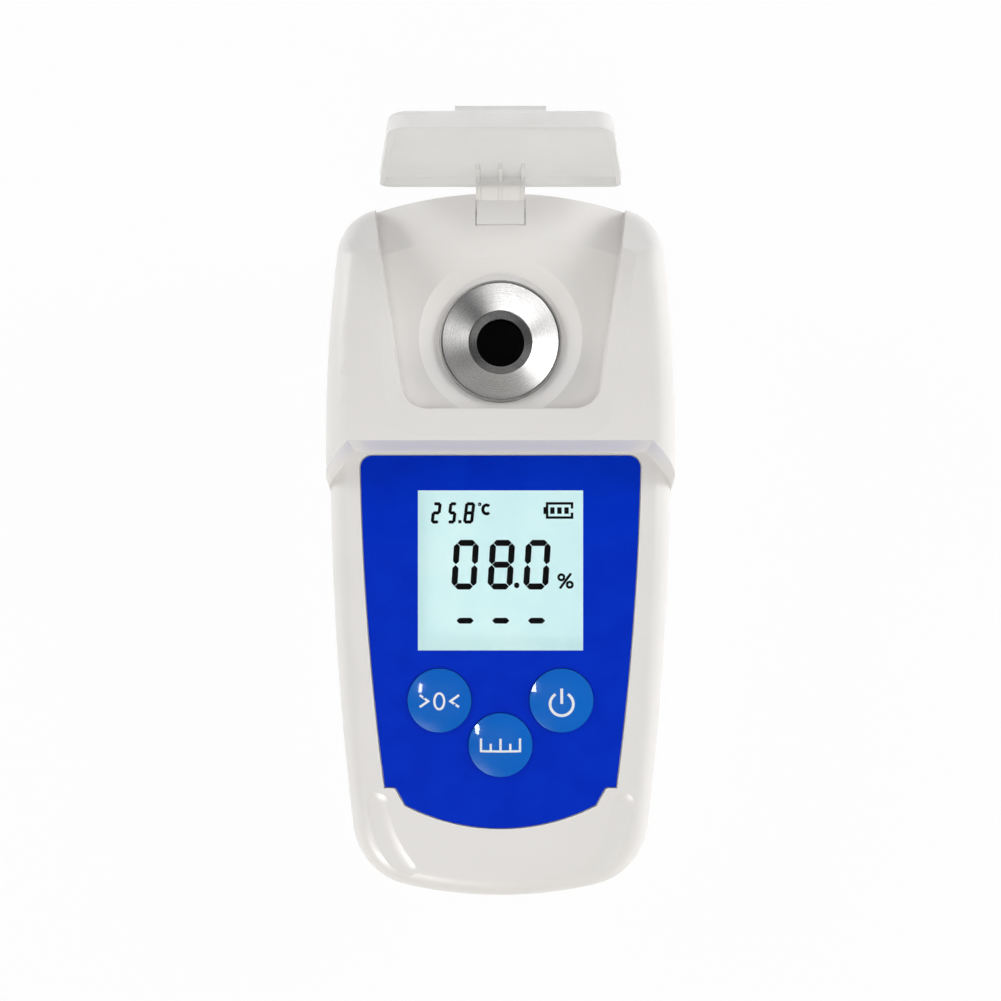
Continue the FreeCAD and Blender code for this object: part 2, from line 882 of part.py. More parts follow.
def block_screw_places():
    """The two places, on a diagonal, where screws hold the optical block under the ring."""
    return [(side * dim.block_screw_x, dim.ring_y - side * dim.block_screw_offset)
            for side in (-1, 1)]


def front_housing():
    outer = fuse("FrontOuter", [head_form(), panel_form()])
    cavity, last = housing_prism("FrontCavity", dim.parting_height - OVERRUN, dim.ceiling_height,
                                 dim.wall)
    ceiling = dim.ceiling_height.value
    dress(cavity, "Fillet", "CavityRounding", last,
          lambda edge: edge.BoundBox.ZMin > ceiling - TOLERANCE, dim.edge_round - dim.wall)
    trim = new_sketch(cavity, "CavityTrimOutline", "XY_Plane", dim.head_height)
    draw(trim, rectangle((-dim.body_width, dim.body_width), (dim.cavity_top_y, 2 * dim.top_end_y)))
    feature(cavity, "Pocket", "CavityTrim", trim, dim.head_height)
    shell = cut("FrontShell", outer, [cavity])
    board_post_low = dim.board_bottom_height + dim.board_thickness
    solid_posts = posts("CasePost", case_screw_places(), dim.parting_height, dim.case_post_radius)
    solid_posts += posts("BoardPost", board_screw_places(), board_post_low, dim.board_post_radius)
    solid_posts += posts("BlockPost", block_screw_places(), dim.block_top_height, dim.board_post_radius)
    ring_boss = cylinder("RingBoss", (0, dim.ring_y, dim.ring_boss_bottom), dim.ring_boss_radius,
                         dim.ceiling_height - dim.ring_boss_bottom + dim.post_root)
    built = fuse("FrontBuilt", [shell, ring_boss] + solid_posts)
    pilots = pilot_holes("CasePilot", case_screw_places(), dim.parting_height, dim.case_screw_radius)
    pilots += pilot_holes("BoardPilot", board_screw_places(), board_post_low, dim.board_screw_radius)
    pilots += pilot_holes("BlockPilot", block_screw_places(), dim.block_top_height,
                          dim.board_screw_radius)
    space = recess_space()
    tools = [lid_recess(space), recess_bevel()] + dish_and_ring_hole(space) + hinge_cuts()
    tools += panel_cuts() + foot_valleys() + pilots
    return piece(cut("FrontHousing", built, tools), "front_housing")


# Rear housing and what closes it
def rear_form(name):
    """The rear half's solid outer form, its back edge rounded."""
    body, last = housing_prism(name, as_size(0), dim.parting_height)
    dress(body, "Fillet", name + "BackRounding", last,
          lambda edge: edge.BoundBox.ZMax < TOLERANCE, dim.back_round)
    return body


def rear_housing():
    outer = rear_form("Rear")
    cavity, last = housing_prism("RearCavity", dim.wall, dim.parting_height + OVERRUN, dim.wall)
    floor = dim.wall.value
    dress(cavity, "Fillet", "RearCavityRounding", last,
          lambda edge: edge.BoundBox.ZMax < floor + TOLERANCE, dim.back_round - dim.wall)
    shell = cut("RearShell", outer, [cavity])
    bay_half = dim.bay_half + dim.bay_wall
    floor_half = dim.cover_half + dim.cover_tongue + dim.bay_wall
    bay_end = dim.bottom_end_y + dim.wall / 2
    bay_top = dim.bay_top_y + dim.bay_wall
    bay_floor = span_box("BayFloor", (-floor_half, floor_half), (bay_end + dim.wall, bay_top + dim.wall),
                         (dim.wall / 2, dim.bay_floor))
    bay = span_box("BayWalls", (-bay_half, bay_half), (dim.bay_bottom_y - dim.bay_wall, bay_top),
                   (dim.wall, dim.bay_height))
    screw_posts = [cylinder(f"RearPost{number}", (x, y, dim.wall / 2), dim.case_post_radius,
                            dim.parting_height - dim.wall / 2)
                   for number, (x, y) in enumerate(case_screw_places(), start=1)]
    built = fuse("RearBuilt", [shell, bay_floor, bay] + screw_posts)
    pocket = span_box("BayPocket", (-dim.bay_half, dim.bay_half), (dim.bay_bottom_y, dim.bay_top_y),
                      (-OVERRUN, dim.bay_height + OVERRUN))
    channel_half = dim.cover_half + dim.cover_gap
    channel_top = dim.cover_thickness + dim.cover_gap
    channel = span_box("CoverChannel", (-channel_half, channel_half),
                       (2 * dim.bottom_end_y, dim.cover_top_y + dim.cover_gap),
                       (-OVERRUN, channel_top))
    groove_half = channel_half + dim.cover_tongue
    groove_low = dim.cover_thickness - dim.cover_tongue_thickness - dim.cover_gap
    groove = span_box("CoverGroove", (-groove_half, groove_half),
                      (2 * dim.bottom_end_y, dim.cover_top_y + dim.cover_gap), (groove_low, channel_top))
    clearances = []
    for number, (x, y) in enumerate(case_screw_places(), start=1):
        clearances.append(cylinder(f"HeadBore{number}", (x, y, -OVERRUN), dim.counterbore_radius,
                                   dim.counterbore_depth + OVERRUN))
        clearances.append(cylinder(f"ShankBore{number}", (x, y, 0),
                                   dim.case_screw_radius + dim.screw_hole_gap,
                                   dim.parting_height + OVERRUN))
    rim_groove = gasket_ring("GasketGroove", dim.parting_height - dim.gasket_depth,
                             dim.parting_height + OVERRUN)
    tools = [pocket, channel, groove, rim_groove] + clearances
    return piece(cut("RearHousing", built, tools), "rear_housing")


def gasket_ring(name, low, high):
    """A thin wall that follows the housing's plan inside its rim."""
    inner_inset = dim.gasket_inset + dim.gasket_width
    outer, outer_last = housing_prism(name + "Outer", low, high, dim.gasket_inset)
    inner, inner_last = housing_prism(name + "Inner", low - OVERRUN, high + OVERRUN, inner_inset)
    return cut(name, outer, [inner])


def case_gasket():
    ring = gasket_ring("CaseGasket", dim.parting_height - dim.gasket_depth, dim.parting_height)
    return piece(ring, "case_gasket")


def battery_cover():
    """The sliding cover: its outside follows the housing, and tongues run in the housing's grooves."""
    slab = span_box("CoverSlab", (-dim.cover_half, dim.cover_half),
                    (2 * dim.bottom_end_y, dim.cover_top_y), (-OVERRUN, dim.cover_thickness))
    plate = common("CoverPlate", rear_form("CoverOuter"), slab)
    tongue_half = dim.cover_half + dim.cover_tongue - dim.cover_gap
    tongue_low = dim.cover_thickness - dim.cover_tongue_thickness
    tongues = span_box("CoverTongues", (-tongue_half, tongue_half),
                       (dim.bay_bottom_y, dim.cover_top_y), (tongue_low, dim.cover_thickness))
    body = fuse("CoverBody", [plate, tongues])
    grips = []
    for number in range(int(dim.cover_grip_count.value)):
        high_y = dim.cover_top_y - dim.cover_grip_start - number * dim.cover_grip_pitch
        grips.append(span_box(f"CoverGrip{number + 1}", (-dim.bay_half, dim.bay_half),
                              (high_y - dim.cover_grip_width, high_y),
                              (-OVERRUN, dim.cover_grip_depth)))
    return piece(cut("BatteryCover", body, grips), "battery_cover")


def screw_end():
    """The height that screws reach in their pilot holes."""
    return dim.ceiling_height - dim.pilot_cover - dim.screw_end_gap


def case_screws():
    """Four pan-head screws, driven in from the back."""
    screws = []
    seat = dim.counterbore_depth
    bars = ((dim.slot_reach, dim.slot_half), (dim.slot_half, dim.slot_reach))
    for number, (x, y) in enumerate(case_screw_places(), start=1):
        head = cylinder(f"CaseScrewHead{number}", (x, y, seat - dim.case_head_height),
                        dim.case_head_radius, dim.case_head_height)
        shank = cylinder(f"CaseScrewShank{number}", (x, y, seat), dim.case_screw_radius,
                         screw_end() - seat)
        slot = [span_box(f"CaseScrewSlot{number}{turn}", (x - reach, x + reach), (y - rise, y + rise),
                         (-OVERRUN, seat - dim.case_head_height / 2))
                for turn, (reach, rise) in enumerate(bars, start=1)]
        screws.append(cut(f"CaseScrew{number}", fuse(f"CaseScrewBody{number}", [head, shank]), slot))
    return piece(group("CaseScrews", screws), "case_screws")


# Panel pieces
def front_overlay():
    body = new_body("FrontOverlay")
    sketch = new_sketch(body, "OverlayOutline", "XY_Plane", dim.panel_height - dim.overlay_bed_depth)
    outline = overlay_outline()
    draw(sketch, outline)
    half = dim.window_width / 2
    half_length = dim.window_length / 2
    draw(sketch, rectangle((-half, half), (dim.window_y - half_length, dim.window_y + half_length)))
    for x, y in key_places().values():
        draw_circle(sketch, x, y, dim.key_radius + dim.key_film_gap)
    pad = feature(body, "Pad", "OverlayPad", sketch, dim.overlay_thickness)
    notched = dress(body, "Fillet", "OverlayNotches", pad, upright_at(*outline[3]), dim.overlay_notch_round)
    dress(body, "Fillet", "OverlayCorners", notched, upright_at(*outline[0][:2]), dim.overlay_top_round)
    return piece(body, "front_overlay")


def lcd_window():
    """The clear plate under the overlay's opening, a little wider than the opening."""
    half = dim.window_width / 2 + dim.window_margin
    half_length = dim.window_length / 2 + dim.window_margin
    top = dim.panel_height - dim.overlay_bed_depth
    plate = span_box("LcdWindow", (-half, half), (dim.window_y - half_length, dim.window_y + half_length),
                     (top - dim.window_thickness, top))
    return piece(plate, "lcd_window")


def keys():
    """Three domed keys, each kept in by a flange under the housing."""
    face = dim.panel_height - dim.overlay_bed_depth + dim.overlay_thickness
    rim = face + dim.key_rim
    flange_top = dim.ceiling_height - dim.key_flange_gap
    flange_low = flange_top - dim.key_flange_thickness
    dome_radius = chord_radius(dim.key_radius, dim.key_dome)
    for name, (x, y) in key_places().items():
        body = new_body(name.title() + "Key")
        profile = new_sketch(body, name.title() + "KeyProfile", "XZ_Plane")
        draw(profile, [
            (0, flange_low),
            (dim.key_radius + dim.key_flange, flange_low),
            (dim.key_radius + dim.key_flange, flange_top),
            (dim.key_radius, flange_top),
            (dim.key_radius, rim, dome_radius),
            (0, rim + dim.key_dome),
        ])
        revolve(body, name.title() + "KeyTurn", profile)
        bind(body, "Placement.Base.x", x)
        bind(body, "Placement.Base.y", y)
        piece(body, name + "_key")


# Sample ring
def sample_ring():
    """The turned steel ring: rim, conical funnel, step and the well's land, over a spigot."""
    body = new_body("SampleRing")
    profile = new_sketch(body, "RingProfile", "XZ_Plane")
    land_low = dim.well_land_height - dim.ring_land
    spigot_inner = dim.spigot_radius - dim.spigot_wall
    draw(profile, [
        (dim.well_radius, land_low),
        (spigot_inner, land_low),
        (spigot_inner, dim.spigot_bottom_height),
        (dim.spigot_radius, dim.spigot_bottom_height),
        (dim.spigot_radius, dim.ring_seat_height),
        (dim.ring_rim_radius, dim.ring_seat_height),
        (dim.ring_rim_radius, dim.ring_rim_height - dim.ring_rim_chamfer),
        (dim.ring_rim_radius - dim.ring_rim_chamfer, dim.ring_rim_height),
        (dim.ring_rim_radius - dim.ring_rim_chamfer - dim.ring_rim_flat, dim.ring_rim_height),
        (dim.ring_step_radius, dim.ring_step_height),
        (dim.ring_step_radius, dim.well_land_height),
        (dim.well_radius, dim.well_land_height),
    ])
    revolve(body, "RingTurn", profile)
    bind(body, "Placement.Base.y", dim.ring_y)
    return piece(body, "sample_ring")


def torus(name, label, radius, section, height):
    """A ring seal round the sample well's axis."""
    ring = doc.addObject("Part::Torus", name)
    bind(ring, "Radius1", radius)
    bind(ring, "Radius2", section)
    place(ring, 0, dim.ring_y, height)
    return piece(ring, label)


def seals():
    """The seal between prism and ring, and the seal round the ring's spigot."""
    land_low = dim.well_land_height - dim.ring_land
    torus("PrismSeal", "prism_seal", dim.seal_radius, dim.seal_round, land_low - dim.seal_round)
    torus("RingSeal", "ring_seal", dim.spigot_radius + dim.ring_seal_round + dim.close_fit,
          dim.ring_seal_round, dim.ring_boss_bottom - dim.ring_seal_round)


# Lid
def lid():
    """The lid in its open place: a shallow tray, a ribbed arm and the barrel round the pin."""
    body = new_body("Lid")
    rim_y = dim.hinge_y + (dim.recess_floor_height + dim.lid_rim_gap - dim.hinge_height)
    outer_y = rim_y + dim.lid_depth
    heel_z = dim.hinge_height + dim.lid_start
    free_y = dim.recess_bottom_y + dim.lid_end_gap
    free_z = dim.hinge_height + (dim.hinge_y - free_y)
    heel_half = recess_half(dim.hinge_y - dim.lid_start) - dim.lid_side_gap
    free_half = recess_half(free_y) - dim.lid_side_gap
    tray = new_sketch(body, "TrayOutline", "XZ_Plane", -outer_y)
    draw(tray, [
        (-heel_half, heel_z),
        (heel_half, heel_z),
        (free_half, free_z),
        (-free_half, free_z),
    ])
    pad = feature(body, "Pad", "TrayPad", tray, dim.lid_depth)

    def along_y_at(half, z):
        return lambda edge: (
            edge.BoundBox.XLength + edge.BoundBox.ZLength < TINY
            and abs(abs(edge.Vertexes[0].X) - half.value) < TOLERANCE
            and abs(edge.Vertexes[0].Z - z.value) < TOLERANCE)

    corners = dress(body, "Fillet", "FreeCorners", pad, along_y_at(free_half, free_z),
                    dim.lid_corner_round)
    heels = dress(body, "Fillet", "HeelCorners", corners, along_y_at(heel_half, heel_z),
                  dim.lid_heel_round)
    hollow = new_sketch(body, "HollowOutline", "XZ_Plane", -rim_y)
    wall = dim.lid_rim_wall
    draw(hollow, [
        (-(heel_half - wall), heel_z + wall),
        (heel_half - wall, heel_z + wall),
        (free_half - wall, free_z - wall),
        (-(free_half - wall), free_z - wall),
    ])
    hollowed = feature(body, "Pocket", "Hollow", hollow, dim.lid_depth - dim.lid_plate)
    inner_corners = dress(body, "Fillet", "HollowCorners", hollowed,
                          along_y_at(free_half - wall, free_z - wall), dim.lid_corner_round - wall)
    back = outer_y.value
    softened = dress(body, "Fillet", "BackEdge", inner_corners,
                     lambda edge: edge.BoundBox.YMin > back - TOLERANCE, dim.lid_edge_round)
    ribs = new_sketch(body, "RibOutline", "XZ_Plane", -(rim_y + dim.lid_depth - dim.lid_plate))
    for place_x in (-dim.rib_spread, as_size(0), dim.rib_spread):
        draw(ribs, rectangle((place_x - dim.rib_width / 2, place_x + dim.rib_width / 2),
                             (heel_z + wall / 2, heel_z + dim.rib_length)))
    feature(body, "Pad", "Ribs", ribs, dim.rib_height)
    grip = new_sketch(body, "GripOutline", "XZ_Plane", -(outer_y - dim.lid_edge_round))
    draw(grip, rectangle((-dim.grip_width / 2, dim.grip_width / 2),
                         (free_z - dim.lid_edge_round - dim.grip_height, free_z - dim.lid_edge_round)))
    feature(body, "Pad", "Grip", grip, dim.grip_depth + dim.lid_edge_round, backwards=True)
    y = dim.hinge_y
    z = dim.hinge_height
    barrel = new_sketch(body, "BarrelOutline", "YZ_Plane")
    draw_circle(barrel, y, z, dim.barrel_radius)
    feature(body, "Pad", "Barrel", barrel, dim.arm_width, both_ways=True)

    def flat_z(at_y):
        """The height of the barrel's flat, just under the sloping floor."""
        return floor_height(at_y) - dim.barrel_sink

    flat = new_sketch(body, "FlatProfile", "YZ_Plane")
    reach = 2 * dim.barrel_radius
    draw(flat, [
        (y - reach, flat_z(y - reach)),
        (rim_y, flat_z(rim_y)),
        (rim_y, flat_z(y - reach)),
    ])
    feature(body, "Pocket", "BarrelFlat", flat, 2 * dim.arm_width, both_ways=True)
    arm = new_sketch(body, "ArmProfile", "YZ_Plane")
    arm_y = y + dim.barrel_radius / 2
    draw(arm, [
        (arm_y, flat_z(arm_y) - dim.arm_thickness),
        (outer_y - dim.lid_plate / 2, heel_z - dim.lid_plate),
        (outer_y, heel_z + dim.lid_plate),
        (rim_y + dim.lid_rim_wall, heel_z + dim.lid_plate),
        (rim_y, heel_z),
        (arm_y, flat_z(arm_y)),
    ])
    feature(body, "Pad", "Arm", arm, dim.arm_width, both_ways=True)
    lift = dim.rib_height / 2
    for number, middle in enumerate((-dim.rib_spread, as_size(0), dim.rib_spread), start=1):
        arm_rib = new_sketch(body, f"ArmRibProfile{number}", "YZ_Plane", middle)
        draw(arm_rib, [
            (arm_y + lift, flat_z(arm_y + lift)),
            (rim_y + lift, heel_z),
            (rim_y, heel_z + lift),
            (arm_y, flat_z(arm_y) + lift),
        ])
        feature(body, "Pad", f"ArmRib{number}", arm_rib, dim.rib_width, both_ways=True)
    bore = new_sketch(body, "BoreOutline", "YZ_Plane")
    draw_circle(bore, y, z, dim.pin_radius + dim.pin_clearance)
    feature(body, "Pocket", "Bore", bore, 2 * dim.arm_width, both_ways=True)
    return piece(body, "lid")


def hinge_pin():
    half = dim.pin_length / 2
    pin = cylinder("HingePin", (-half, dim.hinge_y, dim.hinge_height), dim.pin_radius, 2 * half, "X")
    return piece(pin, "hinge_pin")


# Power
def battery_cell():
    """An AAA cell lying along the body, its button towards the head."""
    body = new_body("BatteryCell")
    profile = new_sketch(body, "CellProfile", "XZ_Plane")
    shoulder = dim.cell_shoulder
    draw(profile, [
        (0, 0),
        (dim.cell_radius - shoulder, 0),
        (dim.cell_radius, shoulder),
        (dim.cell_radius, dim.cell_length - shoulder),
        (dim.cell_radius - shoulder, dim.cell_length),
        (dim.cell_nub_radius, dim.cell_length),
        (dim.cell_nub_radius, dim.cell_length + dim.cell_nub_length),
        (0, dim.cell_length + dim.cell_nub_length),
    ])
    revolve(body, "CellTurn", profile)
    body.Placement = FreeCAD.Placement(FreeCAD.Vector(), FreeCAD.Rotation(FreeCAD.Vector(1, 0, 0), -90))
    start = dim.bay_top_y - dim.contact_thickness - dim.cell_nub_length - dim.cell_length
    place(body, 0, start, dim.cell_centre_height)
    return piece(body, "battery_cell")


def contacts():
    """The two contact plates, each with a leg up to the main board, and the spring."""
    half = dim.bay_half - dim.contact_side_gap
    leg_half = dim.contact_leg_half
    low = dim.cell_centre_height - dim.bay_half / 2
    plates = {
        "positive_contact": (dim.bay_top_y - dim.contact_thickness, dim.bay_top_y),
        "spring_plate": (dim.bay_bottom_y, dim.bay_bottom_y + dim.contact_thickness),
    }
    for name, span in plates.items():
        title = name.title().replace("_", "")
        plate = span_box(title + "Face", (-half, half), span, (low, dim.bay_height))
        leg = span_box(title + "Leg", (-leg_half, leg_half), span,
                       (dim.bay_height, dim.board_bottom_height))
        piece(fuse(title, [plate, leg]), name)
    start = dim.bay_top_y - dim.contact_thickness - dim.cell_nub_length - dim.cell_length
    length = start - dim.bay_bottom_y - dim.contact_thickness - 2 * dim.spring_wire
    helix = doc.addObject("Part::Helix", "SpringPath")
    bind(helix, "Pitch", length / dim.spring_turns)
    bind(helix, "Height", length)
    bind(helix, "Radius", dim.spring_radius)
    wire = doc.addObject("Part::Circle", "SpringWire")
    bind(wire, "Radius", dim.spring_wire)
    wire.Placement = FreeCAD.Placement(FreeCAD.Vector(), FreeCAD.Rotation(FreeCAD.Vector(1, 0, 0), 90))
    bind(wire, "Placement.Base.x", dim.spring_radius)
    sweep = doc.addObject("Part::Sweep", "ContactSpring")
    sweep.Sections = [wire]
    sweep.Spine = (helix, ["Edge1"])
    sweep.Solid = True
    sweep.Frenet = True
    sweep.Placement = FreeCAD.Placement(FreeCAD.Vector(), FreeCAD.Rotation(FreeCAD.Vector(1, 0, 0), -90))
    place(sweep, 0, dim.bay_bottom_y + dim.contact_thickness + dim.spring_wire, dim.cell_centre_height)
    piece(sweep, "contact_spring")


# Electronics
def main_board():
    body = new_body("MainBoard")
    sketch = new_sketch(body, "BoardOutline", "XY_Plane", dim.board_bottom_height)
    draw(sketch, rectangle((-dim.board_half, dim.board_half), (dim.board_bottom_y, dim.board_top_y)))
    for x, y in board_screw_places():
        draw_circle(sketch, x, y, dim.board_screw_radius + dim.screw_hole_gap)
    pad = feature(body, "Pad", "BoardPad", sketch, dim.board_thickness)
    half = dim.board_half.value
    dress(body, "Chamfer", "BoardCorners", pad,
          lambda edge: is_upright(edge) and abs(abs(edge.Vertexes[0].X) - half) < TOLERANCE,
          dim.board_corner)
    return piece(body, "main_board")


def small_screws(name, places, low):
    """Small screws with plain heads, driven up into their posts."""
    screws = []
    height = dim.board_screw_head_height
    for number, (x, y) in enumerate(places, start=1):
        head = cylinder(f"{name}Head{number}", (x, y, low - height), dim.board_screw_head, height)
        shank = cylinder(f"{name}Shank{number}", (x, y, low), dim.board_screw_radius,
                         screw_end() - low)
        screws.append(fuse(f"{name}{number}", [head, shank]))
    return group(name + "s", screws)


def board_screws():
    """Four screws that hold the main board up against its posts."""
    screws = small_screws("BoardScrew", board_screw_places(), dim.board_bottom_height)
    return piece(screws, "board_screws")


def display_stack():
    """The display glass under the window, its backlight and the two connector strips."""
    board_top = dim.board_bottom_height + dim.board_thickness
    glass_top = dim.ceiling_height
    glass_low = glass_top - dim.glass_thickness
    half = dim.glass_width / 2
    low_y = dim.window_y - dim.glass_length / 2
    high_y = dim.window_y + dim.glass_length / 2
    glass = span_box("DisplayGlass", (-half, half), (low_y, high_y), (glass_low, glass_top))
    piece(glass, "display_glass")
    light_low = glass_low - dim.backlight_thickness
    light = span_box("Backlight", (-half, half),
                     (low_y + dim.strip_width + dim.strip_gap, high_y - dim.strip_width - dim.strip_gap),
                     (light_low, glass_low))
    piece(light, "backlight")
    spans = ((low_y, low_y + dim.strip_width), (high_y - dim.strip_width, high_y))
    strips = [span_box(f"Strip{number}", (-half, half), span, (board_top, glass_low))
              for number, span in enumerate(spans, start=1)]
    piece(group("DisplayStrips", strips), "display_strips")


def switches():
    """A tactile switch under each key."""
    board_top = dim.board_bottom_height + dim.board_thickness
    key_low = dim.ceiling_height - dim.key_flange_gap - dim.key_flange_thickness
    plunger_top = key_low - dim.key_travel - dim.plunger_gap
    half = dim.switch_size / 2
    for name, (x, y) in key_places().items():
        title = name.title() + "Switch"
        base = span_box(title + "Base", (x - half, x + half), (y - half, y + half),
                        (board_top, board_top + dim.switch_height))
        plunger = cylinder(title + "Plunger", (x, y, board_top), dim.plunger_radius,
                           plunger_top - board_top)
        piece(fuse(title, [base, plunger]), name + "_switch")


def controller_chip():
    """The controller on the main board's underside, beside the battery bay."""
    low = dim.board_bottom_height - dim.chip_thickness
    start = dim.bay_half + dim.bay_wall + dim.chip_gap
    chip = span_box("ControllerChip", (start, start + dim.chip_size), (-dim.chip_size, 0),
                    (low, dim.board_bottom_height))
    return piece(chip, "controller_chip")


# Optics
def optical_block():
    """The dark block under the ring: prism seat, lamp bore, lens seat and sensor window."""
    body = new_body("OpticalBlock")
    half = dim.block_half_length
    sketch = new_sketch(body, "BlockOutline", "XY_Plane", dim.block_bottom_height)
    draw(sketch, rectangle((-half, half), (-dim.block_half_width, dim.block_half_width)))
    for x, y in block_screw_places():
        draw_circle(sketch, x, y - dim.ring_y, dim.board_screw_radius + dim.screw_hole_gap)
    top = dim.block_top_height
    feature(body, "Pad", "BlockPad", sketch, top - dim.block_bottom_height)
    seat = new_sketch(body, "PrismSeatOutline", "XY_Plane", top)
    prism_half = dim.prism_size / 2 + dim.prism_gap
    draw(seat, rectangle((-prism_half, prism_half), (-prism_half, prism_half)))
    prism_low = dim.well_land_height - dim.ring_land - 2 * dim.seal_round - dim.prism_height
    feature(body, "Pocket", "PrismSeat", seat, top - prism_low)
    bore = new_sketch(body, "LampBoreOutline", "YZ_Plane", -half)
    draw_circle(bore, 0, dim.lamp_height, dim.lamp_radius + dim.close_fit)
    feature(body, "Pocket", "LampBore", bore, half - prism_half, backwards=True)
    seat_depth = dim.lens_thickness + dim.lens_gap
    lens = new_sketch(body, "LensSeatOutline", "YZ_Plane", -(prism_half + seat_depth))
    draw_circle(lens, 0, dim.lamp_height, dim.lens_radius + dim.close_fit)
    feature(body, "Pocket", "LensSeat", lens, seat_depth, backwards=True)
    window = new_sketch(body, "SensorWindowOutline", "YZ_Plane", half)
    sensor = dim.sensor_length / 2 + dim.sensor_gap
    rise = dim.sensor_height / 2 + dim.sensor_gap
    draw(window, rectangle((-sensor, sensor), (dim.lamp_height - rise, dim.lamp_height + rise)))
    feature(body, "Pocket", "SensorWindow", window, dim.sensor_thickness + dim.sensor_gap)
    light_way = new_sketch(body, "LightWayOutline", "YZ_Plane", half)
    draw_circle(light_way, 0, dim.lamp_height, dim.lamp_radius)
    feature(body, "Pocket", "LightWay", light_way, half - prism_half)
    bind(body, "Placement.Base.y", dim.ring_y)
    return piece(body, "optical_block")


def block_screws():
    """Two screws that hold the optical block up under the ring."""
    screws = small_screws("BlockScrew", block_screw_places(), dim.block_bottom_height)
    return piece(screws, "block_screws")


def prism():
    """The measuring prism: a flat top face, an upright band and two sloping sides."""
    body = new_body("Prism")
    top = dim.well_land_height - dim.ring_land - 2 * dim.seal_round
    half = dim.prism_size / 2
    sketch = new_sketch(body, "PrismProfile", "XZ_Plane")
    draw(sketch, [
        (-dim.prism_foot, top - dim.prism_height),
        (dim.prism_foot, top - dim.prism_height),
        (half, top - dim.prism_band),
        (half, top),
        (-half, top),
        (-half, top - dim.prism_band),
    ])
    feature(body, "Pad", "PrismPad", sketch, dim.prism_size, both_ways=True)
    bind(body, "Placement.Base.y", dim.ring_y)
    return piece(body, "prism")


def lamp_and_lens():
    """The lamp in its bore and the lens between lamp and prism."""
    body = new_body("Lamp")
    profile = new_sketch(body, "LampProfile", "XZ_Plane")
    straight = dim.lamp_length - dim.lamp_radius
    draw(profile, [
        (0, 0),
        (dim.lamp_radius, 0),
        (dim.lamp_radius, straight, dim.lamp_radius),
        (0, dim.lamp_length),
    ])
    revolve(body, "LampTurn", profile)
    body.Placement = FreeCAD.Placement(FreeCAD.Vector(), FreeCAD.Rotation(FreeCAD.Vector(0, 1, 0), 90))
    place(body, -dim.block_half_length, dim.ring_y, dim.lamp_height)
    piece(body, "lamp")
    lens = new_body("CollimatingLens")
    profile = new_sketch(lens, "LensProfile", "XZ_Plane")
    edge = dim.lens_edge
    draw(profile, [
        (0, 0),
        (dim.lens_radius, 0),
        (dim.lens_radius, edge, chord_radius(dim.lens_radius, dim.lens_thickness - edge)),
        (0, dim.lens_thickness),
    ])
    revolve(lens, "LensTurn", profile)
    lens.Placement = FreeCAD.Placement(FreeCAD.Vector(), FreeCAD.Rotation(FreeCAD.Vector(0, 1, 0), 90))
    lens_x = -(dim.prism_size / 2 + dim.prism_gap + dim.lens_thickness + dim.lens_gap)
    place(lens, lens_x, dim.ring_y, dim.lamp_height)
    piece(lens, "collimating_lens")


def optics_boards():
    """The upright boards at the block's two ends, with their ribbon leads and sockets."""
    thickness = dim.optics_board_thickness
    half = dim.block_half_length
    y_span = (dim.ring_y - dim.block_half_width, dim.ring_y + dim.optics_board_reach)
    z_span = (dim.block_bottom_height, dim.block_top_height)
    spans = {"lamp": (-half - thickness, -half), "sensor": (half, half + thickness)}
    sockets = []
    ribbons = {
        "lamp": (-half - thickness - dim.ribbon_thickness, -half - thickness),
        "sensor": (half + thickness, half + thickness + dim.ribbon_thickness),
    }
    socket_front = dim.board_top_y - dim.socket_inset
    ribbon_top = dim.board_bottom_height - dim.ribbon_drop
    ribbon_low = ribbon_top - dim.ribbon_height
    for name, x_span in spans.items():
        title = name.title()
        piece(span_box(title + "Board", x_span, y_span, z_span), name + "_board")
        x_low, x_high = ribbons[name]
        ribbon = span_box(title + "Ribbon", (x_low, x_high),
                          (socket_front, y_span[0] + dim.ribbon_overlap), (ribbon_low, ribbon_top))
        piece(ribbon, name + "_ribbon")
        middle = (x_low + x_high) / 2
        side = dim.socket_width / 2
        sockets.append(span_box(title + "Socket", (middle - side, middle + side),
                                (socket_front - dim.socket_length, socket_front),
                                (ribbon_low, dim.board_bottom_height)))
    piece(group("RibbonSockets", sockets), "ribbon_sockets")
    sensor_half = dim.sensor_length / 2
    rise = dim.sensor_height / 2
    sensor = span_box("LineSensor", (half - dim.sensor_thickness, half),
                      (dim.ring_y - sensor_half, dim.ring_y + sensor_half),
                      (dim.lamp_height - rise, dim.lamp_height + rise))
    piece(sensor, "line_sensor")


def temperature_probe():
    """The small probe pressed up under the ring, beside the prism."""
    land_low = dim.well_land_height - dim.ring_land
    reach = dim.prism_size / 2 + (dim.spigot_radius - dim.spigot_wall)
    probe = cylinder("TemperatureProbe", (0, dim.ring_y + reach / 2, land_low - dim.probe_height),
                     dim.probe_radius, dim.probe_height)
    return piece(probe, "temperature_probe")


# Build, check and write
def build():
    front_housing()
    rear_housing()
    case_gasket()
    case_screws()
    battery_cover()
    battery_cell()
    contacts()
    front_overlay()
    lcd_window()
    keys()
    switches()
    main_board()
    board_screws()
    controller_chip()
    display_stack()
    sample_ring()
    seals()
    prism()
    optical_block()
    block_screws()
    lamp_and_lens()
    optics_boards()
    temperature_probe()
    lid()
    hinge_pin()
    doc.recompute()


def check():
    """Stop if any object failed or any piece has no sound solid."""
    for item in doc.Objects:
        if "Invalid" in item.State or "Error" in item.State:
            raise RuntimeError(f"{item.Name} is {item.State}")
    for item in pieces:
        if item.Shape.isNull() or not item.Shape.isValid() or not item.Shape.Solids:
            raise RuntimeError(f"{item.Label} has no valid solid")
        print(f"{item.Label}: {len(item.Shape.Solids)} solids, {item.Shape.Volume:.1f} mm3")


